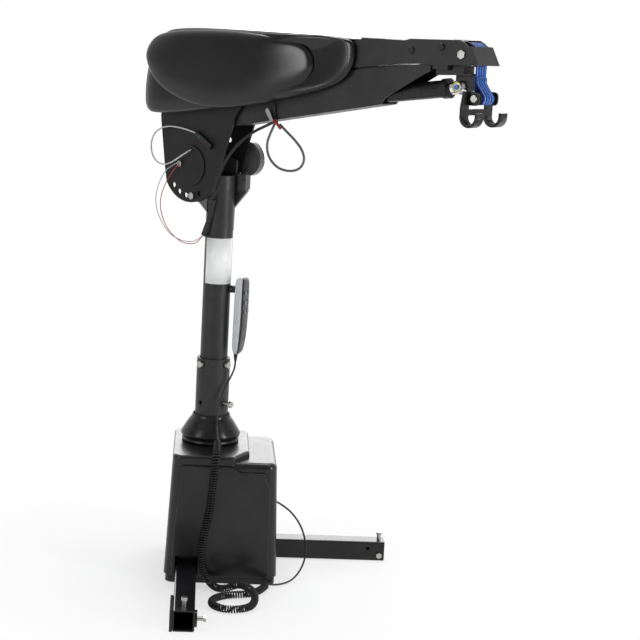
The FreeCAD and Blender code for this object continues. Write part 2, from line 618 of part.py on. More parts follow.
def lower_mast():
    """The swinging sleeve with its spindle, its bush and its clamp bolts."""
    spindle = new_body("swing_spindle")
    flange_low = s("spindle_flange_z")
    plug = s("sleeve_bore_r") - SEAT
    turn(spindle, "XZ_Plane", [
        (ZERO, SPINDLE_LOW), (s("spindle_r"), SPINDLE_LOW), (s("spindle_r"), flange_low),
        (s("spindle_flange_r"), flange_low), (s("spindle_flange_r"), FLANGE_TOP),
        (plug, FLANGE_TOP), (plug, PLUG_TOP), (ZERO, PLUG_TOP)])
    inner, outer = s("sleeve_bore_r"), s("sleeve_r")
    sleeve = new_body("lower_mast", BOOM_FRAME)
    pad(sleeve, "XY_Plane", FLANGE_TOP + SEAT, s("sleeve_top_z"), circles=[
        (ZERO, ZERO, outer), (ZERO, ZERO, inner)])
    set_z, lock_z, stem = s("set_bolt_z"), s("lock_bolt_z"), s("bolt_stem_r")
    holes = [(ZERO, set_z, stem + SEAT), (ZERO, lock_z, stem + SEAT)]
    pocket(sleeve, "YZ_Plane", ZERO, outer + OVER, circles=holes)
    pocket(sleeve, "XZ_Plane", -outer - OVER, ZERO, circles=holes)
    bush = new_body("mast_bush", BOOM_FRAME)
    clear = s("bolt_head_r") * 2
    pad(bush, "XY_Plane", lock_z + clear, set_z - clear, circles=[
        (ZERO, ZERO, inner - SEAT), (ZERO, ZERO, s("upper_mast_r") + RUN)])
    bolts = new_body("mast_bolts", BOOM_FRAME, several=True)
    thick, head = s("bolt_head_thick"), s("bolt_head_r")
    for height, stand in ((set_z, s("set_bolt_stand")), (lock_z, s("lock_bolt_stand"))):
        pad(bolts, "YZ_Plane", inner, outer + stand, circles=[(ZERO, height, stem)])
        pad(bolts, "YZ_Plane", outer + stand, outer + stand + thick, [hexagon(ZERO, height, head)])
    stand = s("set_bolt_stand")
    pad(bolts, "XZ_Plane", -outer - stand, -inner, circles=[(ZERO, set_z, stem)])
    pad(bolts, "XZ_Plane", -outer - stand - thick, -outer - stand, [hexagon(ZERO, set_z, head)])


def boot():
    """The moulded boot that hides the swing bearing: a domed skirt over a ribbed rim."""
    body = new_body("mast_boot")
    wall, hub = s("boot_wall"), s("sleeve_r") + SEAT
    collar, wide, waist, rim = s("boot_collar_r"), s("boot_wide_r"), s("boot_waist_r"), s("boot_rim_r")
    bottom = s("cover_platform_z") + RUN * 2
    waist_z, wide_z, neck_z, top = s("boot_waist_z"), s("boot_wide_z"), s("boot_shoulder_z"), s("boot_top_z")
    dome = (wide - collar) * 1.7
    turn(body, "XZ_Plane", [
        (rim - wall, bottom), (rim, bottom), (rim, bottom + wall), (waist, waist_z), (wide, wide_z, dome),
        (collar, neck_z), (collar, top), (hub, top), (hub, neck_z - wall),
        (collar, neck_z - wall * 1.2, -(dome - wall)), (wide - wall, wide_z - wall / 3),
        (waist - wall, waist_z), (rim - wall, bottom + wall)])


# Mast: sliding tube with head cheeks, lift motor and hand control

def upper_mast():
    body = new_body("upper_mast", BOOM_FRAME)
    pad(body, "XY_Plane", s("upper_mast_bottom_z"), s("upper_mast_top_z"), circles=[
        (ZERO, ZERO, s("upper_mast_r")), (ZERO, ZERO, s("upper_mast_bore_r"))])


def head_cheeks():
    """The two plates welded to the mast's flanks that carry the tilt pivot; the far one has the motor's gusset."""
    body = new_body("head_cheeks", BOOM_FRAME, several=True)
    u, z, r = s("pivot_u"), s("pivot_z"), s("cheek_r")
    tube = s("upper_mast_r")
    outer, inner = s("cheek_outer"), s("cheek_outer") - s("cheek_thick")
    pivot_end = [(u, z + r, r), (u - r, z, r), (u, z - r), (u, z - r * 1.85), (u + r * 0.6, z - r * 1.85)]
    near = [(-tube * 0.4, z - r * 2.3), (-tube * 0.4, z - r * 0.3), (tube * 0.4, z + r * 0.3)]
    edge, top, low = s("gusset_u"), s("gusset_top_z"), s("gusset_low_z")
    far = [(tube * 0.5, s("gusset_tip_z")), (s("gusset_foot_u"), s("gusset_foot_z")), (edge, low), (edge, top),
           (tube * 0.66, top), (tube * 0.66, z + r * 0.4)]
    pad(body, "XZ_Plane", -outer, -inner, [near + pivot_end])
    pad(body, "XZ_Plane", inner, outer, [far + pivot_end])
    pad(body, "XZ_Plane", inner - s("cheek_thick"), outer, [box_outline(tube + RUN, edge, low, top)])
    pocket(body, "XZ_Plane", -outer - OVER, outer + OVER, circles=[(u, z, s("pivot_shaft_r") + s("shaft_gap"))])
    pocket(body, "XY_Plane", ZERO, s("upper_mast_top_z") + SEAT, circles=[(ZERO, ZERO, tube + SEAT)])


def lift_motor():
    """The tilt drive on the far cheek's gusset: a foot and a domed motor can."""
    body = new_body("lift_motor", BOOM_FRAME)
    can = s("plate_inner") + s("plate_thick") + RUN * 2
    middle, half, depth = s("lift_foot_u"), s("lift_foot_half"), s("lift_foot_depth")
    pad(body, "XZ_Plane", s("cheek_outer") + SEAT, can + depth, [box_outline(
        middle - half, middle + half, s("lift_foot_low_z"), s("gusset_top_z") + half / 2)])
    r, dome = s("lift_motor_r"), s("lift_motor_dome")
    rim = can + s("lift_motor_length")
    turn(body, "YZ_Plane", [
        (can, ZERO), (rim + dome, ZERO, (r * r + dome * dome) / (dome * 2)), (rim, r), (can, r)],
        up=s("lift_motor_z"), level=s("lift_motor_u"), axis="H_Axis")


def handset_grooves(side):
    """Grip grooves along one edge of the handset's back."""
    edge, deep, pitch = s("handset_wide") / 2, s("rib_deep"), s("rib_pitch")
    low = s("handset_bottom_z") + s("handset_corner_r") * 2
    high = s("handset_top_z") - s("handset_corner_r") * 2
    left, right = (edge - deep, edge + deep) if side > 0 else (-edge - deep, deep - edge)
    return [box_outline(left, right, low + pitch * k, low + pitch * k + s("rib_wide"))
            for k in range(int((high - low).value / pitch.value))]


def handset():
    """The two-part pendant with its peg into the mast, its strain relief and its six buttons."""
    start = s("handset_start")
    seam = start + s("handset_back_thick")
    face = seam + SEAT + s("handset_front_thick")
    half, low, top = s("handset_wide") / 2, s("handset_bottom_z"), s("handset_top_z")
    outline = rounded_outline(-half, half, low, top, s("handset_corner_r"))
    tube = s("upper_mast_r")
    back = new_body("handset_back", HANDSET_FRAME)
    pad(back, "YZ_Plane", start, seam, [outline])
    fillet(back, s("handset_edge_r"), lambda box: box.XMax < start.value + 0.01)
    pocket(back, "YZ_Plane", start - OVER, seam + OVER, handset_grooves(-1) + handset_grooves(1))
    pad(back, "YZ_Plane", tube - s("cheek_thick") / 2, start, circles=[(ZERO, s("peg_z"), s("peg_r"))])
    pocket(back, "XY_Plane", ZERO, s("upper_mast_top_z"), circles=[(ZERO, ZERO, tube + SEAT)])
    front = new_body("handset_front", HANDSET_FRAME)
    pad(front, "YZ_Plane", seam + SEAT, face, [outline])
    fillet(front, s("handset_edge_r"), lambda box: box.XMin > face.value - 0.01)
    spots = [(s("button_offset") * side, s("button_top_z") - s("button_pitch") * row)
             for row in range(3) for side in (-1, 1)]
    r, root = s("button_r"), face - s("button_root")
    pocket(front, "YZ_Plane", root - s("button_travel") - RUN, face + OVER,
           circles=[(across, z, r + RUN) for across, z in spots])
    high = s("button_high")
    for count, (across, z) in enumerate(spots, start=1):
        button = new_body("button_%d" % count, HANDSET_FRAME)
        turn(button, "XY_Plane", [
            (root, ZERO), (face + high, ZERO, r * 3), (face + high - high / 3, r), (root, r)],
            up=across, level=z, axis="H_Axis")
    relief = new_body("handset_relief", HANDSET_FRAME)
    length, thick = s("relief_length"), s("relief_r")
    turn(relief, "XZ_Plane", [
        (ZERO, low - length), (s("relief_tip_r"), low - length), (thick, low - length / 4),
        (thick, low - SEAT), (ZERO, low - SEAT)], across=s("relief_radial"))


# Head: side plates, pivot and trim

PLATE_OUTER = s("plate_inner") + s("plate_thick")


def on_pivot(reach, degrees):
    """A point at a reach from the pivot, its angle from straight down towards the nose."""
    t = math.radians(degrees)
    return s("pivot_u") + reach * math.sin(t), s("pivot_z") - reach * math.cos(t)


def stop_angles():
    """Angles of the tilt-stop holes from straight down."""
    return [num("stop_pitch") * k - num("stop_first_angle") for k in range(5)]


def side_plates():
    """The tilting head's two plates: a round foot on the pivot, stop holes, packing bosses inside."""
    u, z, r = s("pivot_u"), s("pivot_z"), s("plate_r")
    edge, top = u + r * 2.38, s("plate_top_z")
    outline = [
        on_pivot(r, -60) + (r,), on_pivot(r, 22), (u + r * 0.85, z - r * 0.71), (u + r * 1.58, z + r * 1.43),
        (edge, z + r * 2.5), (edge, top), (u - r * 0.9, top), (u - r * 1.17, z + r * 1.26),
        (u - r * 0.96, z - r * 0.05)]
    boss = s("packer_r")
    bosses = [
        (edge - boss * 3.2, s("channel_rear_top_z") - boss * 1.2, s("channel_half") + SEAT),
        (edge - boss * 1.2, s("arm_rear_z") + boss * 1.2, s("arm_half") + SEAT)]
    holes = [on_pivot(s("stop_arc_r"), angle) + (s("stop_hole_r"),) for angle in stop_angles()]
    holes.append((s("index_hole_u"), s("index_hole_z"), s("index_hole_r")))
    holes.append((u, z, s("pivot_shaft_r") + SEAT))
    holes.append((s("drum_u"), s("drum_z"), s("drum_shaft_r") + s("shaft_gap")))
    for label, sign in (("near_head_plate", -1), ("far_head_plate", 1)):
        body = new_body(label, BOOM_FRAME)
        ends = sorted((s("plate_inner") * sign, PLATE_OUTER * sign), key=lambda size: size.value)
        pad(body, "XZ_Plane", ends[0], ends[1], [outline])
        for across, up, inner in bosses:
            reach = sorted((inner * sign, s("plate_inner") * sign), key=lambda size: size.value)
            pad(body, "XZ_Plane", reach[0], reach[1], circles=[(across, up, boss)])
        pocket(body, "XZ_Plane", ends[0] - OVER, ends[1] + OVER, circles=holes)


def pivot_group():
    """The tilt shaft with its near disc, the earth terminal and the stop bolt."""
    shaft = new_body("pivot_shaft", BOOM_FRAME)
    u, z = s("pivot_u"), s("pivot_z")
    face = -PLATE_OUTER - SEAT
    outer = face - s("pivot_disc_thick")
    pad(shaft, "XZ_Plane", outer, face, circles=[(u, z, s("pivot_disc_r"))])
    fillet(shaft, s("pivot_disc_thick") / 3, lambda box: box.YMax < outer.value + 0.01)
    pad(shaft, "XZ_Plane", face, PLATE_OUTER + s("pivot_nut_thick"), circles=[(u, z, s("pivot_shaft_r"))])
    pocket(shaft, "XZ_Plane", outer - OVER, face + SEAT, circles=[
        (s("grommet_hole_u"), s("grommet_hole_z"), s("grommet_hole_r"))])
    fasteners = new_body("head_fasteners", BOOM_FRAME, several=True)
    pad(fasteners, "XZ_Plane", outer - SEAT - s("terminal_thick"), outer - SEAT,
        [hexagon(s("terminal_u"), s("terminal_z"), s("terminal_r"))])
    bolt_u, bolt_z = on_pivot(s("stop_arc_r"), stop_angles()[3])
    pad(fasteners, "XZ_Plane", face, -s("plate_inner"), circles=[(bolt_u, bolt_z, s("stop_bolt_r"))])
    pad(fasteners, "XZ_Plane", face - s("stop_head_thick"), face, [hexagon(bolt_u, bolt_z, s("stop_head_r"))])


# Head: arm, lower channel and actuator

def upper_arm():
    """The outer boom: a welded box with a passage for the sliding tube."""
    body = new_body("upper_arm", BOOM_FRAME)
    half = s("arm_half")
    pad(body, "XZ_Plane", -half, half, [[
        (s("arm_rear_u"), s("arm_rear_z")), (s("arm_heel_u"), s("arm_heel_z")),
        (s("arm_front_u"), s("arm_front_z")), (s("arm_front_u"), s("arm_top_z")),
        (s("arm_step_u"), s("arm_top_z")), (s("arm_step_u"), s("arm_step_z")),
        (s("arm_rear_u"), s("arm_rear_top_z"))]])
    gap = s("slide_gap")
    inner = s("tube_wide") / 2 + gap
    pocket(body, "XZ_Plane", -inner, inner, [slanted_outline(
        s("arm_rear_u") - OVER, s("arm_front_u") + OVER, s("tube_high") / 2 + gap)])


def actuator_height(u):
    """Height of the actuator's axis above the floor at u."""
    return s("actuator_z") + (u - s("actuator_u")) * SLOPE


def lower_channel():
    """The folded channel that carries the actuator, open at its slanted front, with its saddle blocks."""
    body = new_body("lower_channel", BOOM_FRAME)
    wall, half = s("channel_wall"), s("channel_half")
    rear, front = s("channel_rear_u"), s("channel_front_u")
    heel_u, heel_z = s("channel_heel_u"), s("channel_heel_z")
    pad(body, "XZ_Plane", -half, half, [[
        (rear, s("channel_rear_z")), (heel_u, heel_z), (s("channel_knee_u"), s("channel_knee_z")),
        (front, s("channel_tip_z")), (front, s("channel_top_z")), (rear, s("channel_rear_top_z"))]])
    clear = s("packer_r")
    pocket(body, "XZ_Plane", wall - half, half - wall, [[
        (rear - OVER, s("channel_rear_z") + wall), (heel_u, heel_z + wall), (heel_u + clear, heel_z - clear),
        (front + clear, s("channel_tip_z") - clear), (front + clear, s("channel_top_z") - wall),
        (front, s("channel_top_z") - wall), (rear - OVER, s("channel_rear_top_z") - wall)]])
    start = s("actuator_u") - s("actuator_length") * SLOPE_COS
    end, high = start + clear * 2, s("actuator_r") * 0.8
    low_z, end_z = actuator_height(start), actuator_height(end)
    block = [(start, low_z - high), (end, end_z - high), (end, end_z + high), (start, low_z + high)]
    pad(body, "XZ_Plane", wall - half, -s("actuator_r") - SEAT, [block])
    pad(body, "XZ_Plane", s("actuator_r") + SEAT, half - wall, [block])


SLIDE_TURN = Rotation(Vector(0, 1, 0), -num("slide_slope"))


def tilted_frame(u, z):
    """The boom frame moved to (u, z) and turned up to the slide's slope."""
    return BOOM_FRAME.multiply(Placement(Vector(u.value, 0, z.value), SLIDE_TURN))


def actuator():
    """The linear actuator's tube with its front collar."""
    body = new_body("actuator_tube", tilted_frame(s("actuator_u"), s("actuator_z")))
    r, bore = s("actuator_r"), s("actuator_bore_r")
    rear, guide = -s("actuator_length"), s("rod_r") + RUN
    collar, collar_r = s("actuator_collar_length") / 2, s("actuator_collar_r")
    turn(body, "XZ_Plane", [
        (rear, bore), (-collar, bore), (-collar, guide), (collar, guide), (collar, collar_r),
        (-collar, collar_r), (-collar, r), (rear, r)], axis="H_Axis")


# Boom extension: sliding tube, nose plates, roller, lug and rod

def inner_boom():
    body = new_body("inner_boom", tilted_frame(s("slide_u"), s("slide_z")))
    high, wide, wall = s("tube_high") / 2, s("tube_wide") / 2, s("tube_wall")
    pad(body, "YZ_Plane", -s("tube_rear"), s("tube_front"), [
        rounded_outline(-wide, wide, -high, high, wall),
        rounded_outline(wall - wide, wide - wall, wall - high, high - wall, wall / 3)])


NOSE_OUTER = s("nose_inner") + s("nose_thick")


def nose():
    """The two nose plates joined by their slanted guard, and the roller axle."""
    inner, outer = s("nose_inner"), NOSE_OUTER
    u, z, r = s("roller_u"), s("roller_z"), s("roller_rim_r")
    rear, t = s("arm_front_u"), s("guard_thick")
    guard_low, guard_top = (u + r * 1.72, z - r * 0.79), (u + r * 0.92, z + r * 0.67)
    outline = [
        (rear, s("arm_front_z")), (rear + r * 0.6, z - r), (u - r * 3.1, z - r * 0.97), guard_low, guard_top,
        (u + r * 0.43, z + r * 0.71), (u + r * 0.1, z + r * 0.95), (u - r * 0.3, z + r * 1.14),
        (rear + r * 0.5, z + r), (rear, s("arm_top_z"))]
    body = new_body("boom_nose", BOOM_FRAME, several=True)
    pad(body, "XZ_Plane", -outer, -inner, [outline])
    pad(body, "XZ_Plane", inner, outer, [outline])
    pad(body, "XZ_Plane", -inner, inner, [[
        (guard_low[0] - t, guard_low[1]), guard_low, guard_top, (guard_top[0] - t, guard_top[1])]])
    pocket(body, "XZ_Plane", -outer - OVER, outer + OVER, circles=[(u, z, s("axle_r") + SEAT)])
    axle = new_body("roller_axle", BOOM_FRAME)
    end, head = outer + SEAT, s("axle_head_thick")
    pad(axle, "XZ_Plane", -end, end, circles=[(u, z, s("axle_r"))])
    pad(axle, "XZ_Plane", -end - head, -end, [hexagon(u, z, s("axle_head_r"))])
    pad(axle, "XZ_Plane", end, end + head, [hexagon(u, z, s("axle_head_r"))])


def nose_bolts():
    """Packers between the sliding tube and the nose plates, with domed bolt heads outside."""
    body = new_body("nose_bolts", BOOM_FRAME, several=True)
    dome, r = s("nose_bolt_dome"), s("nose_bolt_r")
    near, far = s("tube_wide") / 2 + SEAT, s("nose_inner") - SEAT
    low, high = NOSE_OUTER + SEAT, NOSE_OUTER + dome
    bolts = ((s("slide_u"), s("slide_z")), (s("nose_bolt_u"), s("nose_bolt_z")))
    for start, end in ((near, far), (-far, -near), (low, high), (-high, -low)):
        pad(body, "XZ_Plane", start, end, circles=[(u, z, r) for u, z in bolts])
    tip = high.value
    fillet(body, dome * 0.8, lambda box: min(abs(box.YMin), abs(box.YMax)) > tip - 0.01)


def strap_roller():
    """The flanged nose roller that turns the strap down."""
    body = new_body("strap_roller", BOOM_FRAME)
    half, r, rim, t = s("roller_half"), s("roller_r"), s("roller_rim_r"), s("roller_rim_thick")
    bore = s("axle_r") + s("shaft_gap")
    turn(body, "YZ_Plane", [
        (-half, bore), (half, bore), (half, rim), (half - t, rim), (half - t, r), (t - half, r),
        (t - half, rim), (-half, rim)], up=s("roller_z"), level=s("roller_u"), axis="H_Axis")


CLEVIS_Z = actuator_height(s("clevis_pin_u"))


def lift_lug():
    """The bar under the nose with the lug that the actuator rod pushes."""
    body = new_body("actuator_lug", BOOM_FRAME)
    half, high, tongue, r = s("lug_bar_half"), s("lug_bar_high"), s("guard_thick"), s("roller_rim_r")
    rear, front, tip = s("lug_bar_rear_u"), s("lug_bar_front_u"), s("lug_front_u")
    top = s("roller_z") - r * 0.9
    under, lip = top - high * 0.92, top - high * 0.86
    pad(body, "XZ_Plane", -half, half, [[
        (rear, top - high * 1.12), (front, under), (tip, lip), (tip, lip + tongue),
        (front, under + tongue), (front, top), (rear, top - high * 0.12)]])
    u, z, pin, floor = s("clevis_pin_u"), CLEVIS_Z, s("clevis_pin_r"), s("lug_bottom_z")
    thick = s("lug_half")
    pad(body, "XZ_Plane", -thick, thick, [[
        (u - pin * 2.3, z, pin * 2.6), (u + pin * 1.5, floor), (tip - pin * 3, floor + pin * 0.8),
        (tip, floor + pin * 2.3), (tip, top - high * 0.8), (u - pin * 2.3, top - high * 0.8)]])
    # end blocks that bear on the inside of the nose plates
    block, outer = box_outline(rear, rear + r * 1.5, top - high / 2, top + tongue), s("nose_inner") - SEAT
    pad(body, "XZ_Plane", -outer, -half, [block])
    pad(body, "XZ_Plane", half, outer, [block])
    pocket(body, "XZ_Plane", -thick - OVER, thick + OVER, circles=[(u, z, pin + SEAT)])


def actuator_rod():
    """The chromed rod with its clevis, and the pin with its snap ring."""
    body = new_body("actuator_rod", tilted_frame(s("clevis_pin_u"), CLEVIS_Z))
    r, rod, front, back = s("clevis_r"), s("rod_r"), s("clevis_front"), s("clevis_back")
    rear = -back - s("rod_length")
    turn(body, "XZ_Plane", [
        (rear, ZERO), (front, ZERO), (front, r * 0.8), (front - r * 0.2, r), (-back, r), (-back, rod),
        (rear, rod)], axis="H_Axis")
    slot, pin_r, wire = s("clevis_slot_half"), s("clevis_pin_r"), s("ring_wire_r")
    pocket(body, "XY_Plane", -r - OVER, r + OVER, [box_outline(-r - RUN, front + OVER, -slot, slot)])
    pocket(body, "XZ_Plane", -r - OVER, r + OVER, circles=[(ZERO, ZERO, pin_r + SEAT)])
    pin = new_body("clevis_pin", BOOM_FRAME)
    u, z, half, face = s("clevis_pin_u"), CLEVIS_Z, r + wire * 3, -r - SEAT
    pad(pin, "XZ_Plane", -half, half, circles=[(u, z, pin_r)])
    pad(pin, "XZ_Plane", face - wire * 2, face, circles=[(u, z, s("ring_r"))])


# Strap and hook

STRAP_IN = s("roller_r") + RUN
STRAP_OUT = STRAP_IN + s("strap_thick")
STRAP_NEAR_U = s("roller_u") + STRAP_IN
STRAP_FAR_U = s("roller_u") + STRAP_OUT


def straps():
    """The webbing: along the boom and over the roller, down to the hook, and its sewn loop."""
    half, t = s("strap_wide") / 2, s("strap_thick")
    u, z = s("roller_u"), s("roller_z")
    run = new_body("boom_strap", BOOM_FRAME)
    top_in = (u - STRAP_IN * SLOPE_SIN, z + STRAP_IN * SLOPE_COS)
    top_out = (u - STRAP_OUT * SLOPE_SIN, z + STRAP_OUT * SLOPE_COS)
    rear = s("drum_u") + s("drum_wrap_r") * 9
    back_in = (rear, top_in[1] + (rear - top_in[0]) * SLOPE)
    back_out = (rear, top_out[1] + (rear - top_out[0]) * SLOPE)
    pad(run, "XZ_Plane", -half, half, [[
        back_in, top_in + (-STRAP_IN,), (STRAP_NEAR_U, z), (STRAP_FAR_U, z, STRAP_OUT), top_out, back_out]])
    top = s("strap_bottom_z")
    drop = new_body("webbing_strap", BOOM_FRAME)
    pad(drop, "XZ_Plane", -half, half, [box_outline(STRAP_NEAR_U, STRAP_FAR_U, top, z)])
    loop = new_body("strap_loop", BOOM_FRAME)
    pin_u, pin_z = s("hook_pin_u"), s("hook_pin_z")
    small = s("bush_r") + RUN
    big = small + t
    lean = math.radians(50)
    pad(loop, "XZ_Plane", -half, half, [[
        (pin_u - big, pin_z, big), (pin_u + big, pin_z, big),
        (pin_u + big * math.cos(lean), pin_z + big * math.sin(lean)), (STRAP_FAR_U + t, top - t * 5),
        (STRAP_FAR_U + t, top), (STRAP_NEAR_U, top), (STRAP_NEAR_U, top - t * 5)]])
    pocket(loop, "XZ_Plane", -half - OVER, half + OVER, circles=[(pin_u, pin_z, small)])


def hook_pin():
    u, z = s("hook_pin_u"), s("hook_pin_z")
    bush = new_body("hook_bush", BOOM_FRAME)
    half = s("bush_half")
    pad(bush, "XZ_Plane", -half, half, circles=[(u, z, s("bush_r")), (u, z, s("hook_pin_r") + SEAT)])
    pin = new_body("hook_pin", BOOM_FRAME)
    end, thick = s("hook_pin_half"), s("hook_pin_head_thick")
    pad(pin, "XZ_Plane", -end, end, circles=[(u, z, s("hook_pin_r"))])
    for low, high in ((-end - thick, -end), (end, end + thick)):
        pad(pin, "XZ_Plane", low, high, circles=[(u, z, s("hook_pin_head_r"))])
    tip = (end + thick).value
    fillet(pin, thick / 2, lambda box: min(abs(box.YMin), abs(box.YMax)) > tip - 0.01)


def docking_hook():
    """The double J hook: one bent plate with ears, a slot for the strap and a cross bar."""
    body = new_body("docking_hook", BOOM_FRAME)
    back, t, r = s("hook_plate_u"), s("hook_thick"), s("hook_curl_r")
    low, top, tip = s("hook_bottom_z"), s("hook_top_z"), s("hook_tip_z")
    half, slot = s("hook_half"), s("hook_slot_half")
    far = back + r * 2
    pad(body, "XZ_Plane", -half, half, [[
        (back, low + r, r), (back + r, low, r), (far, low + r), (far, tip), (far - t, tip),
        (far - t, low + r, t - r), (back + r, low + t, t - r), (back + t, low + r), (back + t, top), (back, top)]])
    pocket(body, "YZ_Plane", back - OVER, back + t + OVER, [
        box_outline(-slot, slot, s("hook_bar_top_z"), top + OVER)])
    pocket(body, "YZ_Plane", back - OVER, far + OVER, [
        rounded_outline(-slot, slot, low - r, s("hook_bar_bottom_z"), t / 2)])
    wedge, narrow = s("hook_shoulder_z"), s("hook_top_half")
    for side in (-1, 1):
        pocket(body, "YZ_Plane", back - OVER, back + t + OVER, [[
            (narrow * side, top + OVER), (half * side * 1.1, top + OVER), (half * side * 1.1, wedge - t * 3),
            (half * side, wedge - t * 3), (narrow * side, top)]])
    ear = s("hook_ear_thick")
    ear_low, ear_far = s("hook_ear_bottom_z"), s("hook_ear_front_u")
    bend = t * 1.5
    for low_v, high_v in ((-slot - ear, -slot), (slot, slot + ear)):
        pad(body, "XZ_Plane", low_v, high_v, [[
            (back + t / 2, ear_low), (ear_far - bend, ear_low, bend), (ear_far, ear_low + bend),
            (ear_far, top - bend, bend), (ear_far - bend, top), (back + t / 2, top)]])
    hole = s("hook_pin_r") + s("shaft_gap")
    pocket(body, "XZ_Plane", -slot - ear - OVER, slot + ear + OVER,
           circles=[(s("hook_pin_u"), s("hook_pin_z"), hole)])


# Head cover with its winch

def winch():
    """The strap drum between the plates and its motor on the far one."""
    drum = new_body("strap_drum", BOOM_FRAME)
    half, t = s("drum_half"), s("drum_flange_thick")
    reach, shaft, core = PLATE_OUTER, s("drum_shaft_r"), s("drum_core_r")
    wrap = s("strap_wide") / 2
    right = [
        (reach, ZERO), (reach, shaft), (half, shaft), (half, s("drum_flange_r")), (half - t, s("drum_flange_r")),
        (half - t, core), (wrap, core), (wrap, s("drum_wrap_r"))]
    left = [(-v, r) for v, r in reversed(right)]
    turn(drum, "YZ_Plane", right + left, up=s("drum_z"), level=s("drum_u"), axis="H_Axis")
    motor = new_body("winch_motor", BOOM_FRAME)
    start = PLATE_OUTER + SEAT
    case = start + s("winch_case_thick")
    u, z, r = s("drum_u"), s("drum_z"), s("winch_case_r")
    pad(motor, "XZ_Plane", start, case, circles=[(u, z, r)])
    pad(motor, "XZ_Plane", case, case + s("winch_motor_length"), circles=[(u + r / 4, z, s("winch_motor_r"))])


def shell_outline(inset=ZERO, cut=None):
    """The head cover's side outline, drawn in by an inset; a cut (length share, height share) ends it early."""
    shares = SHELL_SHARES
    if cut is not None:
        shares = ([pair for pair in SHELL_SHARES[:5] if pair[0] < cut[0]] + [cut, (cut[0], 1)]
                  + [pair for pair in SHELL_SHARES[7:]])
    return scaled_outline(
        shares, s("shell_rear_u") + inset, s("shell_front_u") - inset, s("shell_bottom_z") + inset,
        s("shell_top_z") - inset)


def taper_cut(body):
    """Trims the head cover's flanks so that it narrows towards the arm."""
    half, front = s("shell_half") + OVER, s("shell_front_u") + OVER
    for sign in (-1, 1):
        pocket(body, "XY_Plane", s("shell_bottom_z") - OVER, s("shell_top_z") + OVER, [[
            (s("taper_start_u"), s("shell_half") * sign), (s("taper_mid_u"), s("taper_mid_half") * sign),
            (s("shell_front_u"), s("taper_front_half") * sign), (front, s("taper_front_half") * sign),
            (front, half * sign), (s("taper_start_u"), half * sign)]])


def head_cover():
    """The moulded head cover: a middle shell and two rounded side caps, open below for the plates."""
    half, seam, wall = s("shell_half"), s("cap_start"), s("shell_wall")
    slot = s("shell_slot_half")
    body = new_body("head_cover", BOOM_FRAME)
    pad(body, "XZ_Plane", -seam, seam, [shell_outline()])
    taper_cut(body)
    pocket(body, "XZ_Plane", -seam - OVER, seam + OVER, [shell_outline(wall, (0.854, 0.424))])
    mid = s("taper_start_u")
    pocket(body, "XY_Plane", s("pivot_z"), s("drum_z"), [
        box_outline(s("shell_rear_u") + wall * 3, mid, -slot, slot)])
    pocket(body, "XY_Plane", s("pivot_z"), s("arm_step_z") + RUN, [
        box_outline(mid, s("shell_front_u") + OVER, -slot, slot)])
    face = half.value
    for label, sign in (("near_cover_cap", -1), ("far_cover_cap", 1)):
        cap = new_body(label, BOOM_FRAME)
        outer = (seam + SEAT, half) if sign > 0 else (-half, -seam - SEAT)
        inner = (seam - OVER, half - wall) if sign > 0 else (wall - half, OVER - seam)
        pad(cap, "XZ_Plane", outer[0], outer[1], [shell_outline()])
        fillet(cap, s("cap_edge_r"), lambda box: min(abs(box.YMin), abs(box.YMax)) > face - 0.01)
        taper_cut(cap)
        # the cap ends bluntly a little before the taper has thinned it away
        pocket(cap, "XY_Plane", s("shell_bottom_z") - OVER, s("shell_top_z") + OVER, [box_outline(
            s("taper_mid_u") - s("taper_mid_half") * 0.6, s("shell_front_u") + OVER, -half - OVER, half + OVER)])
        pocket(cap, "XZ_Plane", inner[0], inner[1], [shell_outline(wall * 1.5, (0.66, 0.281))])


def cable_clip():
    """The clip under the cover's edge that holds the harness."""
    body = new_body("cable_clip", BOOM_FRAME)
    u, z = s("clip_u"), s("clip_z")
    face = -s("channel_half") - SEAT
    wide, high, t = s("clip_wide") / 2, s("clip_high"), s("clip_thick")
    pad(body, "XZ_Plane", face - t, face, [[
        (u - wide, z), (u + wide * 0.6, z - wide), (u + wide, z), (u + wide * 0.4, z + high), (u - wide, z + high)]])
    ring, depth = s("clip_ring_r"), s("clip_ring_thick")
    hub_u, hub_z = u + wide, z - ring
    pad(body, "XZ_Plane", face - t, face - t + depth, circles=[(hub_u, hub_z, ring), (hub_u, hub_z, ring - depth)])


def plugs():
    """The in-line connectors on the head's and the mast's wires."""
    half, thick = s("plug_wide") / 2, s("plug_thick")
    head = new_body("signal_plug", BOOM_FRAME)
    face = -PLATE_OUTER - RUN
    pad(head, "XZ_Plane", face - thick, face, [slanted_box(
        (s("plug_rear_u"), s("plug_rear_z")), (s("plug_front_u"), s("plug_front_z")), half)])
    mast = new_body("wire_connectors", BOOM_FRAME, several=True)
    face = -s("upper_mast_r") - RUN
    low = (s("connector_low_u"), s("connector_low_z"))
    mid = (s("connector_mid_u"), s("connector_mid_z"))
    top = (s("connector_top_u"), s("connector_top_z"))
    pad(mast, "XZ_Plane", face - thick, face, [slanted_box(low, mid, half)])
    pad(mast, "XZ_Plane", face - thick, face, [slanted_box((mid[0], mid[1] + RUN), top, half * 0.75)])


# Cords: straight runs joined by arcs

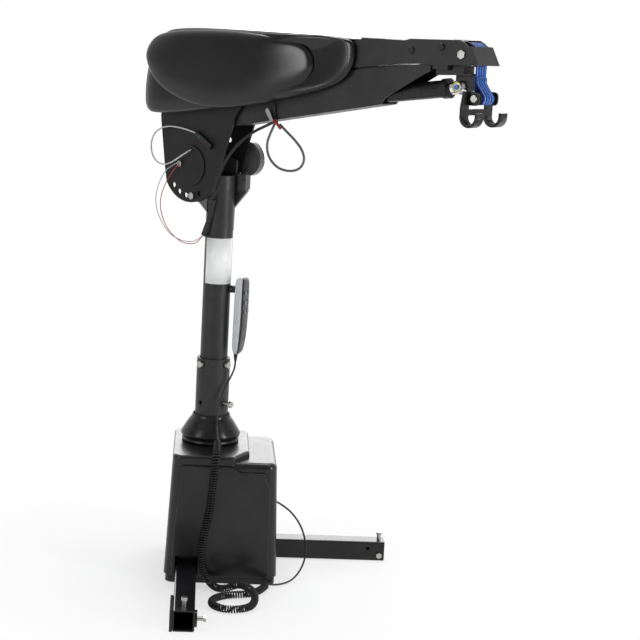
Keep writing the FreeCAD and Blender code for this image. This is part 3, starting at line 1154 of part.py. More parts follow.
def tube_solid(name, points, radius):
    """A cord's solid along a hand-chosen route, with arcs as large as the runs allow."""
    spots = [Vector(*point) for point in points]
    edges, radii, here = [], [], spots[0]
    for before, corner, after in zip(spots, spots[1:], spots[2:]):
        into, out = corner - before, after - corner
        half_turn = into.getAngle(out) / 2
        setback = 0.45 * min(into.Length, out.Length)
        radii.append(setback / math.tan(half_turn))
        start = corner - into.normalize() * setback
        end = corner + out.normalize() * setback
        inward = ((end - corner) + (start - corner)).normalize()
        middle = corner + inward * (radii[-1] / math.cos(half_turn) - radii[-1])
        edges.append(Part.LineSegment(here, start).toShape())
        edges.append(Part.Arc(start, middle, end).toShape())
        here = end
    edges.append(Part.LineSegment(here, spots[-1]).toShape())
    path = Part.Wire(edges)
    profile = Part.Wire([Part.makeCircle(radius, spots[0], spots[1] - spots[0])])
    solid = path.makePipeShell([profile], True, False)
    print("%s: length %.0f, radii %s, volume share %.4f" % (
        name, path.Length, " ".join("%.0f" % r for r in radii),
        solid.Volume / (math.pi * radius ** 2 * path.Length)))
    return solid


def cord(label, routes, place=None):
    """A cord node from one or two routes; PartDesign has no sweep along a free path of arcs."""
    solids = [tube_solid(label, points, num(alias)) for points, alias in routes]
    thing = doc.addObject("Part::Feature", label)
    thing.Shape = solids[0] if len(solids) == 1 else Part.makeCompound(solids)
    return register(thing, label, place)


PENDANT_LEAD = [
    (47.55, -15.45, 466.6), (47.4, -16.5, 453), (41, -27, 438), (29, -40, 416), (19.5, -47, 389),
    (12.5, -55, 357), (11.8, -67, 335), (13.5, -88, 322.5), (16, -111, 310)]
PENDANT_COIL = [
    (15.2, -113.6, 308.6), (14.4, -136, 301), (13, -160, 290), (11.8, -167, 264), (8.5, -163.6, 225),
    (5.5, -163.4, 185), (1, -163.2, 148), (-6, -163.4, 112), (-11.6, -164, 78), (-9, -167, 48), (0, -172, 24),
    (14, -185, 9.4), (30, -208, 8.9), (50, -214, 14), (72, -222, 26.6), (98, -254, 27.4), (107, -278, 18),
    (101, -306, 9.5), (82, -326, 8.8), (56, -334, 8.8), (32, -326, 8.8), (15, -306, 8.8), (15, -277, 8.8),
    (31, -254, 8.8), (60, -241, 8.8), (91, -236, 8.8), (112, -218, 8.8), (124, -196, 8.8), (133, -172, 8.8)]
PENDANT_TAIL = [
    (133.1, -171.8, 8.8), (138, -160, 6), (152, -154, 3), (171, -143, 2.4), (190, -122, 3.5), (206, -102, 14),
    (217, -92, 34), (221, -85, 57), (218, -79, 85), (209, -75, 110), (197, -71, 129), (176, -66, 151),
    (152.3, -62, 163)]
SIGNAL_CABLE = [
    (-56, -39.6, 924), (-57, -49, 920.5), (-74, -54.5, 908), (-98, -56, 893), (-122, -56, 884.5), (-148, -55, 891),
    (-166, -51, 908), (-171.5, -48, 931), (-164, -46, 951), (-146, -45, 963.5), (-121, -45, 970), (-92, -45, 969.5),
    (-64, -43, 966), (-43.5, -41, 961)]
RED_WIRE = [
    (-86, -45.3, 890), (-101, -48, 874), (-117, -50, 850), (-128, -51, 827), (-133.5, -51, 805), (-131, -51, 783),
    (-117, -51, 756), (-95, -50, 735), (-67, -48, 721), (-39, -44, 719.5), (-24, -40, 727), (-14, -37, 741)]
GREY_WIRE = [
    (-90, -45.3, 893), (-114, -48, 881), (-130, -50, 862), (-142, -51, 838), (-148, -51, 814), (-146, -51, 794),
    (-135, -51, 768), (-107, -50, 738), (-74, -48, 725), (-42, -43, 724), (-28, -38, 731), (-17, -34, 741)]
HARNESS = [
    (172, -34, 1001.5), (160, -40, 994), (127, -43, 979), (88, -44, 953), (58, -44, 921.5), (41, -44, 894),
    (27.5, -44, 867), (17, -42, 842), (11, -36, 823.5)]
SPARE_LOOP = [
    (177, -35, 1000), (170, -40, 980), (163, -43, 956), (170, -44, 930), (194, -44, 910), (226, -44, 904.5),
    (256, -44, 911), (270, -44, 930), (262, -43, 951), (240, -41, 969), (214, -38, 984), (190, -35, 998)]


def cords():
    cord("pendant_lead", [(PENDANT_LEAD, "pendant_lead_r")])
    cord("pendant_coil", [(PENDANT_COIL, "pendant_coil_r")])
    cord("pendant_tail", [(PENDANT_TAIL, "pendant_tail_r")])
    cord("signal_cable", [(SIGNAL_CABLE, "signal_cable_r")], BOOM_FRAME)
    cord("motor_leads", [(RED_WIRE, "thin_wire_r"), (GREY_WIRE, "thin_wire_r")], BOOM_FRAME)
    cord("head_harness", [(HARNESS, "harness_r"), (SPARE_LOOP, "spare_cable_r")], BOOM_FRAME)


def write_parts():
    doc.recompute()
    for thing in doc.Objects:
        if "Invalid" in thing.State or "Error" in thing.State:
            raise SystemExit("failed: %s %s" % (thing.Label, thing.State))
    for thing in parts:
        if thing.Shape.isNull() or not thing.Shape.isValid():
            raise SystemExit("bad shape: " + thing.Label)
    os.makedirs("parts", exist_ok=True)
    for thing in parts:
        thing.Shape.exportStep("parts/%s.step" % thing.Label)
    print("%d parts written" % len(parts))


for build in (legs, clamp_screws, floor_pan, swing_drive, base_cover, lower_mast, boot,
              upper_mast, head_cheeks, lift_motor, handset, side_plates, pivot_group, upper_arm, lower_channel,
              actuator, inner_boom, nose, nose_bolts, strap_roller, lift_lug, actuator_rod, straps,
              hook_pin, docking_hook, winch, head_cover, cable_clip, plugs, cords):
    build()
write_parts()
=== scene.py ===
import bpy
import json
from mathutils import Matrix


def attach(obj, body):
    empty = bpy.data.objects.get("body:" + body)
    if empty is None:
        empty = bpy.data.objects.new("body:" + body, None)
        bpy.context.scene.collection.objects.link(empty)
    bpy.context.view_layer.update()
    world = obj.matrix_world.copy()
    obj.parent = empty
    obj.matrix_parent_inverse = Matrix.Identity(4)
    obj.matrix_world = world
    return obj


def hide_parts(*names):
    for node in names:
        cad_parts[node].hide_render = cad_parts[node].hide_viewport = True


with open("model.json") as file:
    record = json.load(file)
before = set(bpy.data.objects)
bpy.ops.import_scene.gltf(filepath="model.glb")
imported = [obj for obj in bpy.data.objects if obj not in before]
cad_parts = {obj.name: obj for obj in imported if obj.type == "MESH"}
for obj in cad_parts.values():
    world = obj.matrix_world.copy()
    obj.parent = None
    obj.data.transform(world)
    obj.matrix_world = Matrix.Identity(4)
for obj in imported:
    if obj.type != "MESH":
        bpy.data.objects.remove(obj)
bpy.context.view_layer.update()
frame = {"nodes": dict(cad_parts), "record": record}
import json
import math
import bmesh
import bpy
from mathutils import Matrix, Vector

scene = bpy.context.scene
scene.view_settings.view_transform = "Standard"

# Boom frame in the row frame: u along the boom, v away from the camera
AZIMUTH = math.radians(43.5)
U = Vector((math.cos(AZIMUTH), -math.sin(AZIMUTH), 0))
V = Vector((math.sin(AZIMUTH), math.cos(AZIMUTH), 0))
LEAN = math.radians(8.17)
SLOPE = math.tan(LEAN)


def row(x, y, z):
    """Millimetres in the row frame to metres."""
    return Vector((x, y, z)) / 1000


def boom(u, v, z):
    """Millimetres in the boom frame to metres in the row frame."""
    return (U * u + V * v + Vector((0, 0, z))) / 1000


# Camera at the photograph's place
forward = Vector((0.0708, 0.9818, -0.1764)).normalized()
level = forward.cross(Vector((0, 0, 1))).normalized()
upright = level.cross(forward)
ROLL = 0.0546
right = level * math.cos(ROLL) + upright * math.sin(ROLL)
up = upright * math.cos(ROLL) - level * math.sin(ROLL)
camera = bpy.data.objects.new("camera", bpy.data.cameras.new("camera"))
camera.data.lens = 95.33
camera.data.sensor_width = 36
camera.data.clip_end = 50
turn = Matrix((right, up, -forward)).transposed().to_4x4()
camera.matrix_world = Matrix.Translation((-0.0346, -3.6709, 1.2231)) @ turn
scene.collection.objects.link(camera)
scene.camera = camera


# Materials

# Paint darker than this gets a weak mirror, because most of what it reflects is white
BLACK = 0.05
BLACK_MIRROR = 0.28


def shader(name, colour, rough, metal=0.0, **sockets):
    """A material with its Principled shader, and its node tree."""
    mat = bpy.data.materials.new(name)
    mat.use_nodes = True
    node = mat.node_tree.nodes["Principled BSDF"]
    node.inputs["Base Color"].default_value = (*colour, 1)
    node.inputs["Roughness"].default_value = rough
    node.inputs["Metallic"].default_value = metal
    for socket, value in sockets.items():
        node.inputs[socket.replace("_", " ")].default_value = value
    return mat, mat.node_tree, node


def noise(tree, scale, detail=3.0, stretch=(1, 1, 1)):
    """Noise in the object's own coordinates."""
    place = tree.nodes.new("ShaderNodeTexCoord")
    mapping = tree.nodes.new("ShaderNodeMapping")
    mapping.inputs["Scale"].default_value = stretch
    tree.links.new(place.outputs["Object"], mapping.inputs["Vector"])
    node = tree.nodes.new("ShaderNodeTexNoise")
    node.inputs["Scale"].default_value = scale
    node.inputs["Detail"].default_value = detail
    tree.links.new(mapping.outputs["Vector"], node.inputs["Vector"])
    return node.outputs["Fac"]


def ramp(tree, source, low, high, start=0.35, end=0.65):
    """Two colours or greys spread over a span of a value."""
    node = tree.nodes.new("ShaderNodeValToRGB")
    for stop, place, tone in zip(node.color_ramp.elements, (start, end), (low, high)):
        stop.position = place
        stop.color = (*tone, 1) if isinstance(tone, tuple) else (tone, tone, tone, 1)
    tree.links.new(source, node.inputs["Fac"])
    return node.outputs["Color"]


def bump(tree, target, height, strength, distance):
    node = tree.nodes.new("ShaderNodeBump")
    node.inputs["Strength"].default_value = strength
    node.inputs["Distance"].default_value = distance
    tree.links.new(height, node.inputs["Height"])
    tree.links.new(node.outputs["Normal"], target.inputs["Normal"])


def combine(tree, operation, first, second):
    """Joins two values with a Math node."""
    node = tree.nodes.new("ShaderNodeMath")
    node.operation = operation
    tree.links.new(first, node.inputs[0])
    tree.links.new(second, node.inputs[1])
    return node.outputs["Value"]


def finish(name, colour, rough, metal=0.0, grain=900, depth=0.00008, vary=0.15, stretch=(1, 1, 1),
           wander=0.07, **sockets):
    """A surface whose tone and gloss wander a little, with a fine grain."""
    if not metal and max(colour) < BLACK:
        sockets.setdefault("Specular_IOR_Level", BLACK_MIRROR)
    mat, tree, node = shader(name, colour, rough, metal, **sockets)
    tone = noise(tree, 14, 4)
    dark = tuple(c * (1 - vary) for c in colour)
    pale = tuple(min(c * (1 + vary) + 0.004, 1) for c in colour)
    tree.links.new(ramp(tree, tone, dark, pale), node.inputs["Base Color"])
    wear = noise(tree, 45, 5)
    tree.links.new(ramp(tree, wear, max(rough - wander, 0.02), min(rough + wander, 1)),
                   node.inputs["Roughness"])
    bump(tree, node, noise(tree, grain, 2, stretch), 0.5, depth)
    return mat


def banded(name, base, bands, rough, axis):
    """Webbing with coloured stitch rows, placed across its width in metres from the boom's plane."""
    mat, tree, node = shader(name, base, rough, Sheen_Weight=0.05, Specular_IOR_Level=0.25)
    place = tree.nodes.new("ShaderNodeTexCoord")
    dot = tree.nodes.new("ShaderNodeVectorMath")
    dot.operation = "DOT_PRODUCT"
    dot.inputs[1].default_value = axis
    tree.links.new(place.outputs["Object"], dot.inputs[0])
    colour = ramp(tree, noise(tree, 60, 3), tuple(c * 0.82 for c in base),
                  tuple(min(c * 1.15, 1) for c in base))
    for centre, half, tone, dash in bands:
        off = tree.nodes.new("ShaderNodeMath")
        off.operation = "COMPARE"
        off.inputs[1].default_value = centre
        off.inputs[2].default_value = half
        tree.links.new(dot.outputs["Value"], off.inputs[0])
        mask = off.outputs["Value"]
        if dash:
            wave = tree.nodes.new("ShaderNodeTexWave")
            wave.bands_direction = "Z"
            wave.inputs["Scale"].default_value = dash
            tree.links.new(place.outputs["Object"], wave.inputs["Vector"])
            gate = tree.nodes.new("ShaderNodeMath")
            gate.operation = "GREATER_THAN"
            gate.inputs[1].default_value = 0.35
            tree.links.new(wave.outputs["Fac"], gate.inputs[0])
            mask = combine(tree, "MULTIPLY", gate.outputs["Value"], mask)
        mix = tree.nodes.new("ShaderNodeMixRGB")
        mix.inputs["Color2"].default_value = (*tone, 1)
        tree.links.new(mask, mix.inputs["Fac"])
        tree.links.new(colour, mix.inputs["Color1"])
        colour = mix.outputs["Color"]
    tree.links.new(colour, node.inputs["Base Color"])
    ribs = tree.nodes.new("ShaderNodeTexWave")
    ribs.bands_direction = "Z"
    ribs.inputs["Scale"].default_value = 240
    ribs.inputs["Distortion"].default_value = 1.5
    tree.links.new(place.outputs["Object"], ribs.inputs["Vector"])
    bump(tree, node, ribs.outputs["Fac"], 0.6, 0.0003)
    return mat


MATS = {
    "leg_black": finish("leg_black", (0.006, 0.006, 0.007), 0.22, grain=500, depth=0.00001, wander=0.03,
                        Coat_Weight=0.1),
    "powder_grey": finish("powder_grey", (0.022, 0.022, 0.0225), 0.42, grain=1400, depth=0.00016,
                          vary=0.12),
    "plate_black": finish("plate_black", (0.006, 0.006, 0.006), 0.5, grain=1400, depth=0.00012, vary=0.12),
    "zinc": finish("zinc", (0.42, 0.43, 0.4), 0.34, 1.0, grain=300, depth=0.00003),
    "bare_steel": finish("bare_steel", (0.36, 0.36, 0.36), 0.38, 1.0, grain=400, stretch=(1, 1, 12)),
    "cover_black": finish("cover_black", (0.006, 0.006, 0.0065), 0.32, grain=700, depth=0.00002, vary=0.1,
                          wander=0.02, Coat_Weight=0.2,
                          Coat_Roughness=0.12),
    "head_black": finish("head_black", (0.003, 0.003, 0.0035), 0.24, grain=500, depth=0.00002, vary=0.08,
                         wander=0.02, Coat_Weight=0.3,
                         Coat_Roughness=0.16),
    "boot_black": finish("boot_black", (0.007, 0.007, 0.0075), 0.3, grain=600, depth=0.00006),
    "case_grey": finish("case_grey", (0.5, 0.52, 0.54), 0.45, grain=900, vary=0.05),
    "case_black": finish("case_black", (0.015, 0.015, 0.017), 0.35, grain=900),
    "button_mix": finish("button_mix", (0.18, 0.18, 0.2), 0.5, grain=700),
    "cable_black": finish("cable_black", (0.008, 0.008, 0.0085), 0.4, grain=700, vary=0.2),
    "cable_grey": finish("cable_grey", (0.5, 0.5, 0.5), 0.45, grain=600, vary=0.06),
    "sleeve_grey": finish("sleeve_grey", (0.09, 0.09, 0.092), 0.45, grain=600, vary=0.15),
    "red_wire": finish("red_wire", (0.45, 0.02, 0.02), 0.35, vary=0.1),
    "grey_wire": finish("grey_wire", (0.4, 0.4, 0.42), 0.38, vary=0.1),
    "plug_grey": finish("plug_grey", (0.6, 0.6, 0.58), 0.4, vary=0.06),
    "plug_dark": finish("plug_dark", (0.02, 0.02, 0.022), 0.4),
    "hook_black": finish("hook_black", (0.008, 0.008, 0.009), 0.34, grain=900, depth=0.0001,
                         Coat_Weight=0.1),
    "chrome_rod": finish("chrome_rod", (0.78, 0.78, 0.8), 0.12, 1.0, grain=200, depth=0.00001, vary=0.04),
    "aluminium": finish("aluminium", (0.5, 0.51, 0.52), 0.36, 1.0, grain=500, stretch=(6, 6, 1)),
    "motor_grey": finish("motor_grey", (0.06, 0.06, 0.062), 0.3, grain=500, depth=0.00003,
                         Specular_IOR_Level=0.5,
                         Coat_Weight=0.6, Coat_Roughness=0.2),
    "nylon": finish("nylon", (0.02, 0.02, 0.021), 0.4, grain=400, vary=0.1),
    "pin_blue": finish("pin_blue", (0.05, 0.16, 0.5), 0.35, vary=0.08),
    "ring_yellow": finish("ring_yellow", (0.62, 0.6, 0.1), 0.35, vary=0.12),
    "green": finish("green", (0.05, 0.35, 0.12), 0.4, vary=0.1),
    "sticker": finish("sticker", (0.86, 0.87, 0.85), 0.35, grain=200, depth=0.00001, vary=0.02),
    "webbing_blue": banded(
        "webbing_blue", (0.003, 0.045, 0.3),
        [(-0.0125, 0.0007, (0.7, 0.6, 0.1), 170), (0.0125, 0.0007, (0.1, 0.55, 0.7), 170),
         (-0.004, 0.0005, (0.1, 0.55, 0.7), 170), (0.004, 0.0005, (0.7, 0.6, 0.1), 170)], 0.7, tuple(V)),
}
SPECIAL = {"wire_connectors": "plug_dark", "handset_relief": "case_black", "signal_plug": "plug_dark",
           "near_head_plate": "plate_black", "far_head_plate": "plate_black", "head_cheeks": "motor_grey",
           "pivot_shaft": "plate_black", "base_pan": "leg_black",
           "actuator_tube": "boot_black", "nose_bolts": "hook_black"}
for entry in frame["record"]["subparts"]:
    node, name = entry["node"], entry["material_slot"]
    thing = frame["nodes"][node]
    name = SPECIAL.get(node, {"wire_mix": "red_wire"}.get(name, name))
    thing.data.materials.clear()
    thing.data.materials.append(MATS[name])


def paint(thing, name):
    """Gives a new piece its material."""
    thing.data.materials.append(MATS[name])
    return thing


def mesh_piece(name, verts, faces, smooth=True):
    mesh = bpy.data.meshes.new(name)
    mesh.from_pydata([tuple(v) for v in verts], [], faces)
    mesh.polygons.foreach_set("use_smooth", [smooth] * len(mesh.polygons))
    thing = bpy.data.objects.new(name, mesh)
    scene.collection.objects.link(thing)
    return thing


def prism(name, outline, near, far):
    """A flat plate with a (u, z) outline between two distances from the boom's plane."""
    count = len(outline)
    verts = [boom(u, v, z) for v in (near, far) for u, z in outline]
    faces = [tuple(range(count)), tuple(reversed(range(count, count * 2)))]
    faces += [(k, k + count, (k + 1) % count + count, (k + 1) % count) for k in range(count)]
    return mesh_piece(name, verts, faces, smooth=False)


# Cords

def route_curve(name, points, radius, bevel=True):
    """A cord's line: a smooth spline with the route's points as its control points."""
    data = bpy.data.curves.new(name, "CURVE")
    data.dimensions = "3D"
    data.resolution_u = 12
    spline = data.splines.new("NURBS")
    spline.points.add(len(points) - 1)
    for spot, point in zip(spline.points, points):
        spot.co = (*point, 1)
    spline.order_u = 3
    spline.use_endpoint_u = True
    if bevel:
        data.bevel_depth = radius
        data.bevel_resolution = 5
        data.use_fill_caps = True
    thing = bpy.data.objects.new(name, data)
    scene.collection.objects.link(thing)
    return thing


def polyline(points, name):
    """The points of the route's spline, read from a curve with no bevel."""
    thing = route_curve(name, points, 0, bevel=False)
    mesh = bpy.data.meshes.new_from_object(thing)
    spots = [v.co.copy() for v in mesh.vertices]
    bpy.data.objects.remove(thing)
    return spots


def span(spots):
    return sum((b - a).length for a, b in zip(spots, spots[1:]))


def plain_cord(name, points, radius, body, node, material, slot, **facts):
    length = span(polyline(points, name + "_line"))
    thing = paint(route_curve(name, points, radius), material)
    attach(thing, body)
    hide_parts(node)
    return thing


PENDANT_LEAD = [
    (47.55, -15.45, 466.6), (47.4, -16.5, 453), (41, -27, 438), (29, -40, 416), (19.5, -47, 389),
    (12.5, -55, 357), (11.8, -67, 335), (13.5, -88, 322.5), (16, -111, 310)]
PENDANT_COIL = [
    (15.2, -113.6, 308.6), (14.4, -136, 301), (13, -160, 290), (11.8, -167, 264), (8.5, -163.6, 225),
    (5.5, -163.4, 185), (1, -163.2, 148), (-6, -163.4, 112), (-11.6, -164, 78), (-9, -167, 48),
    (0, -172, 24),
    (14, -185, 9.4), (30, -208, 8.9), (50, -214, 14), (72, -222, 26.6), (98, -254, 27.4), (107, -278, 18),
    (101, -306, 9.5), (82, -326, 8.8), (56, -334, 8.8), (32, -326, 8.8), (15, -306, 8.8), (15, -277, 8.8),
    (31, -254, 8.8), (60, -241, 8.8), (91, -236, 8.8), (112, -218, 8.8), (124, -196, 8.8), (133, -172, 8.8)]
PENDANT_TAIL = [
    (133.1, -171.8, 8.8), (138, -160, 6), (152, -154, 3), (171, -143, 2.4), (190, -122, 3.5),
    (206, -102, 14),
    (217, -92, 34), (221, -85, 57), (218, -79, 85), (209, -75, 110), (197, -71, 129), (176, -66, 151),
    (152.3, -62, 163)]
SIGNAL_CABLE = [
    (-56, -39.6, 924), (-57, -49, 920.5), (-74, -54.5, 908), (-98, -56, 893), (-122, -56, 884.5),
    (-148, -55, 891),
    (-166, -51, 908), (-171.5, -48, 931), (-164, -46, 951), (-146, -45, 963.5), (-121, -45, 970),
    (-92, -45, 969.5),
    (-64, -43, 966), (-43.5, -41, 961)]
RED_WIRE = [
    (-86, -45.3, 890), (-101, -48, 874), (-117, -50, 850), (-128, -51, 827), (-133.5, -51, 805),
    (-131, -51, 783),
    (-117, -51, 756), (-95, -50, 735), (-67, -48, 721), (-39, -44, 719.5), (-24, -40, 727), (-14, -37, 741)]
GREY_WIRE = [
    (-90, -45.3, 893), (-114, -48, 881), (-130, -50, 862), (-142, -51, 838), (-148, -51, 814),
    (-146, -51, 794),
    (-135, -51, 768), (-107, -50, 738), (-74, -48, 725), (-42, -43, 724), (-28, -38, 731), (-17, -34, 741)]
HARNESS = [
    (172, -34, 1001.5), (160, -40, 994), (127, -43, 979), (88, -44, 953), (58, -44, 921.5), (41, -44, 894),
    (27.5, -44, 867), (17, -42, 842), (11, -36, 823.5)]
SPARE_LOOP = [
    (177, -35, 1000), (170, -40, 980), (163, -43, 956), (170, -44, 930), (194, -44, 910), (226, -44, 904.5),
    (256, -44, 911), (270, -44, 930), (262, -43, 951), (240, -41, 969), (214, -38, 984), (190, -35, 998)]


def in_row(points):
    return [row(*point) for point in points]


def in_boom(points):
    return [boom(*point) for point in points]


STEPS_PER_TURN = 16
OPENING_STEPS = 20


def helix(spots, radius, turns):
    """Points of a helix round a line, opening from the line and closing back onto it."""
    total = span(spots)
    path, done, k = [], 0.0, 0
    count = turns * STEPS_PER_TURN
    normal = None
    lengths = [0.0]
    for a, b in zip(spots, spots[1:]):
        lengths.append(lengths[-1] + (b - a).length)
    for i in range(count + 1):
        want = total * i / count
        while k < len(spots) - 2 and lengths[k + 1] < want:
            k += 1
        ahead = (spots[k + 1] - spots[k]).normalized()
        here = spots[k].lerp(spots[k + 1], (want - lengths[k]) / (lengths[k + 1] - lengths[k]))
        normal = Vector((1, 0, 0)) if normal is None else normal
        normal = (normal - ahead * normal.dot(ahead)).normalized()
        side = ahead.cross(normal)
        angle = 2 * math.pi * turns * i / count
        opened = radius * min(1, i / OPENING_STEPS, (count - i) / OPENING_STEPS)
        path.append(here + (normal * math.cos(angle) + side * math.sin(angle)) * opened)
    return path


def tube_mesh(name, path, radius, sides=8):
    """A round tube along a path, with closed ends."""
    verts, faces = [], []
    normal = Vector((0, 0, 1))
    for i, spot in enumerate(path):
        ahead = (path[min(i + 1, len(path) - 1)] - path[max(i - 1, 0)]).normalized()
        normal = (normal - ahead * normal.dot(ahead)).normalized()
        side = ahead.cross(normal)
        for k in range(sides):
            t = 2 * math.pi * k / sides
            verts.append(spot + (normal * math.cos(t) + side * math.sin(t)) * radius)
    for i in range(len(path) - 1):
        for k in range(sides):
            a, b = i * sides + k, i * sides + (k + 1) % sides
            faces.append((a, b, b + sides, a + sides))
    faces.append(tuple(reversed(range(sides))))
    faces.append(tuple(range((len(path) - 1) * sides, len(path) * sides)))
    return mesh_piece(name, verts, faces)


plain_cord("handset_lead", in_row(PENDANT_LEAD), 0.002, "sleeve", "pendant_lead", "cable_black",
           "cable_black",
           far_end="object", stiffness="medium", lay="hanging")
curl = helix(polyline(in_row(PENDANT_COIL), "coil_line"), 0.0066, 146)
coil = paint(tube_mesh("curly_cord", curl, 0.0018), "cable_black")
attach(coil, "base")
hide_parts("pendant_coil")
plain_cord("handset_tail", in_row(PENDANT_TAIL), 0.002, "base", "pendant_tail", "cable_black",
           "cable_black",
           far_end="object", stiffness="medium", lay="loose")
plain_cord("grey_signal_cable", in_boom(SIGNAL_CABLE), 0.0017, "head", "signal_cable", "cable_grey",
           "cable_grey",
           far_end="object", stiffness="medium", lay="hanging")
plain_cord("red_lead", in_boom(RED_WIRE), 0.00095, "mast", "motor_leads", "red_wire", "wire_mix",
           far_end="object", stiffness="limp", lay="hanging")
plain_cord("grey_lead", in_boom(GREY_WIRE), 0.00095, "mast", "motor_leads", "grey_wire", "wire_mix",
           far_end="object", stiffness="limp", lay="hanging")
plain_cord("harness_sleeve", in_boom(HARNESS), 0.003, "head", "head_harness", "cable_black", "cable_black",
           far_end="object", stiffness="stiff", lay="hanging")
plain_cord("spare_cable", in_boom(SPARE_LOOP), 0.0026, "head", "head_harness", "sleeve_grey", "cable_black",
           far_end="object", stiffness="medium", lay="hanging")


# Silver tab and eye beside the clip
CLIP_TAB = [(151, 1027), (155, 1029.5), (159, 1027), (172.5, 1006), (172, 1002.5), (167, 1001.5),
            (164, 1004),
            (150.5, 1022)]
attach(paint(prism("clip_tab", CLIP_TAB, -36.2, -37.4), "bare_steel"), "head")

# Shrink sleeve that joins the spare loop's end to the clip
splice = in_boom([(172.5, -35, 1006), (180, -35, 1001), (190, -35.2, 991.5), (193, -35.4, 990)])
sleeve = paint(tube_mesh("splice_sleeve", splice, 0.003), "red_wire")
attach(sleeve, "head")


# Webbing

def ribbon(name, line, half, thick):
    """A webbing band along (u, z) points, thicker in its middle than at its woven edges."""
    spots = [Vector((u, 0, z)) for u, z in line]
    verts, faces = [], []
    profile = [(-1, 0), (-0.94, 0.5), (-0.5, 0.5), (0, 0.5), (0.5, 0.5), (0.94, 0.5), (1, 0),
               (0.94, -0.5), (0.5, -0.5), (0, -0.5), (-0.5, -0.5), (-0.94, -0.5)]
    n = len(profile)
    for i, spot in enumerate(spots):
        ahead = (spots[min(i + 1, len(spots) - 1)] - spots[max(i - 1, 0)]).normalized()
        out = Vector((-ahead.z, 0, ahead.x))
        for across, off in profile:
            point = spot + out * (off * thick)
            verts.append(boom(point.x, across * half, point.z))
    for i in range(len(spots) - 1):
        for k in range(n):
            a, b = i * n + k, i * n + (k + 1) % n
            faces.append((a, b, b + n, a + n))
    faces.append(tuple(reversed(range(n))))
    faces.append(tuple(range((len(spots) - 1) * n, len(spots) * n)))
    return paint(mesh_piece(name, verts, faces), "webbing_blue")


STRAP_GAP = 0.3
STRAP_HALF = 1.2
ROLLER_U, ROLLER_Z, ROLLER_R = 635.9, 1165.7, 20.5
STRAP_START = 243
reach = ROLLER_R + STRAP_GAP + STRAP_HALF
arc = [(ROLLER_U + reach * math.sin(t), ROLLER_Z + reach * math.cos(t))
       for t in [-LEAN + (math.pi / 2 + LEAN) * k / 14 for k in range(15)]]
start = (STRAP_START, arc[0][1] + (STRAP_START - arc[0][0]) * SLOPE)
over = ribbon("strap_over_roller", [start] + arc, 18, 2.4)
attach(over, "boom")
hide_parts("boom_strap")
drop = ribbon("strap_drop", [(657.9, z) for z in (1165.4, 1152, 1138, 1124.2)], 17.8, 2.3)
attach(drop, "boom")
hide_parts("webbing_strap")
BUSH_R = 9.4
inner = BUSH_R + STRAP_GAP + STRAP_HALF
loop_line = [(657.9, 1124), (658.6, 1112), (657.9, 1098)]
loop_line += [(669 + inner * math.cos(t), 1085 + inner * math.sin(t))
              for t in [math.radians(170 + 240 * k / 20) for k in range(21)]]
loop_line += [(664.5, 1108), (660.4, 1114), (660.3, 1123.9)]
loop = ribbon("strap_eye", loop_line, 17.9, 2.2)
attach(loop, "block")
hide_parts("strap_loop")


# Small pieces

def lathe(name, centre, axis, profile, material, body, sides=40):
    """Turns (along, radius) points about an axis."""
    axis = axis.normalized()
    side = axis.orthogonal().normalized()
    other = axis.cross(side)
    verts, faces = [], []
    for along, r in profile:
        for k in range(sides):
            t = 2 * math.pi * k / sides
            verts.append(centre + axis * (along / 1000)
                         + (side * math.cos(t) + other * math.sin(t)) * (r / 1000))
    for i in range(len(profile) - 1):
        for k in range(sides):
            a, b = i * sides + k, i * sides + (k + 1) % sides
            faces.append((a, b, b + sides, a + sides))
    faces.append(tuple(reversed(range(sides))))
    faces.append(tuple(range((len(profile) - 1) * sides, len(profile) * sides)))
    thing = paint(mesh_piece(name, verts, faces), material)
    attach(thing, body)
    return thing


lathe("pin_cap", boom(615.5, -17.25, 1103.47), -V, [(0, 4.6), (0.3, 4.9), (1.2, 4.9), (1.8, 4), (2, 2)],
      "pin_blue",
      "boom")
ring_points = [boom(615.5 + 9.3 * math.cos(t), -16.4, 1103.47 + 9.3 * math.sin(t))
               for t in [math.radians(20 + 320 * k / 40) for k in range(41)]]
snap = paint(tube_mesh("snap_ring_wire", ring_points, 0.0011), "ring_yellow")
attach(snap, "boom")
lathe("plug_dot", boom(-30, -45.05, 954.2), -V, [(0, 1.6), (0.4, 1.6), (0.6, 1)], "green",
      "head")


LABEL_INNER, LABEL_OUTER = 30.2, 30.45


def mast_patch(name, low, high, first, last, material):
    """A sticker wrapped on the mast between two bearings from the +X axis, in degrees."""
    steps = 20
    verts = []
    for z in (low, high):
        for off in (LABEL_INNER, LABEL_OUTER):
            for k in range(steps + 1):
                t = math.radians(first + (last - first) * k / steps)
                verts.append(row(off * math.cos(t), off * math.sin(t), z))
    n = steps + 1
    faces = []
    for k in range(steps):
        faces.append((n + k, n + k + 1, 3 * n + k + 1, 3 * n + k))
        faces.append((k + 1, k, 2 * n + k, 2 * n + k + 1))
        faces.append((k, k + 1, n + k + 1, n + k))
        faces.append((2 * n + k + 1, 2 * n + k, 3 * n + k, 3 * n + k + 1))
    faces.append((0, n, 3 * n, 2 * n))
    faces.append((n + steps, steps, 2 * n + steps, 3 * n + steps))
    thing = paint(mesh_piece(name, verts, faces), material)
    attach(thing, "mast")
    return thing


mast_patch("mast_label", 638, 738, -150, -14, "sticker")

# Head cover: a hollow body with two teardrop caps

def smooth_loop(points, rounds=3):
    """A closed outline with its corners cut until it runs smoothly."""
    for _ in range(rounds):
        cut = []
        for (a, b), (c, d) in zip(points, points[1:] + points[:1]):
            cut += [(a * 0.75 + c * 0.25, b * 0.75 + d * 0.25), (a * 0.25 + c * 0.75, b * 0.25 + d * 0.75)]
        points = cut
    return points


def ease(value, start, width):
    t = min(max((value - start) / width, 0), 1)
    return t * t * (3 - 2 * t)


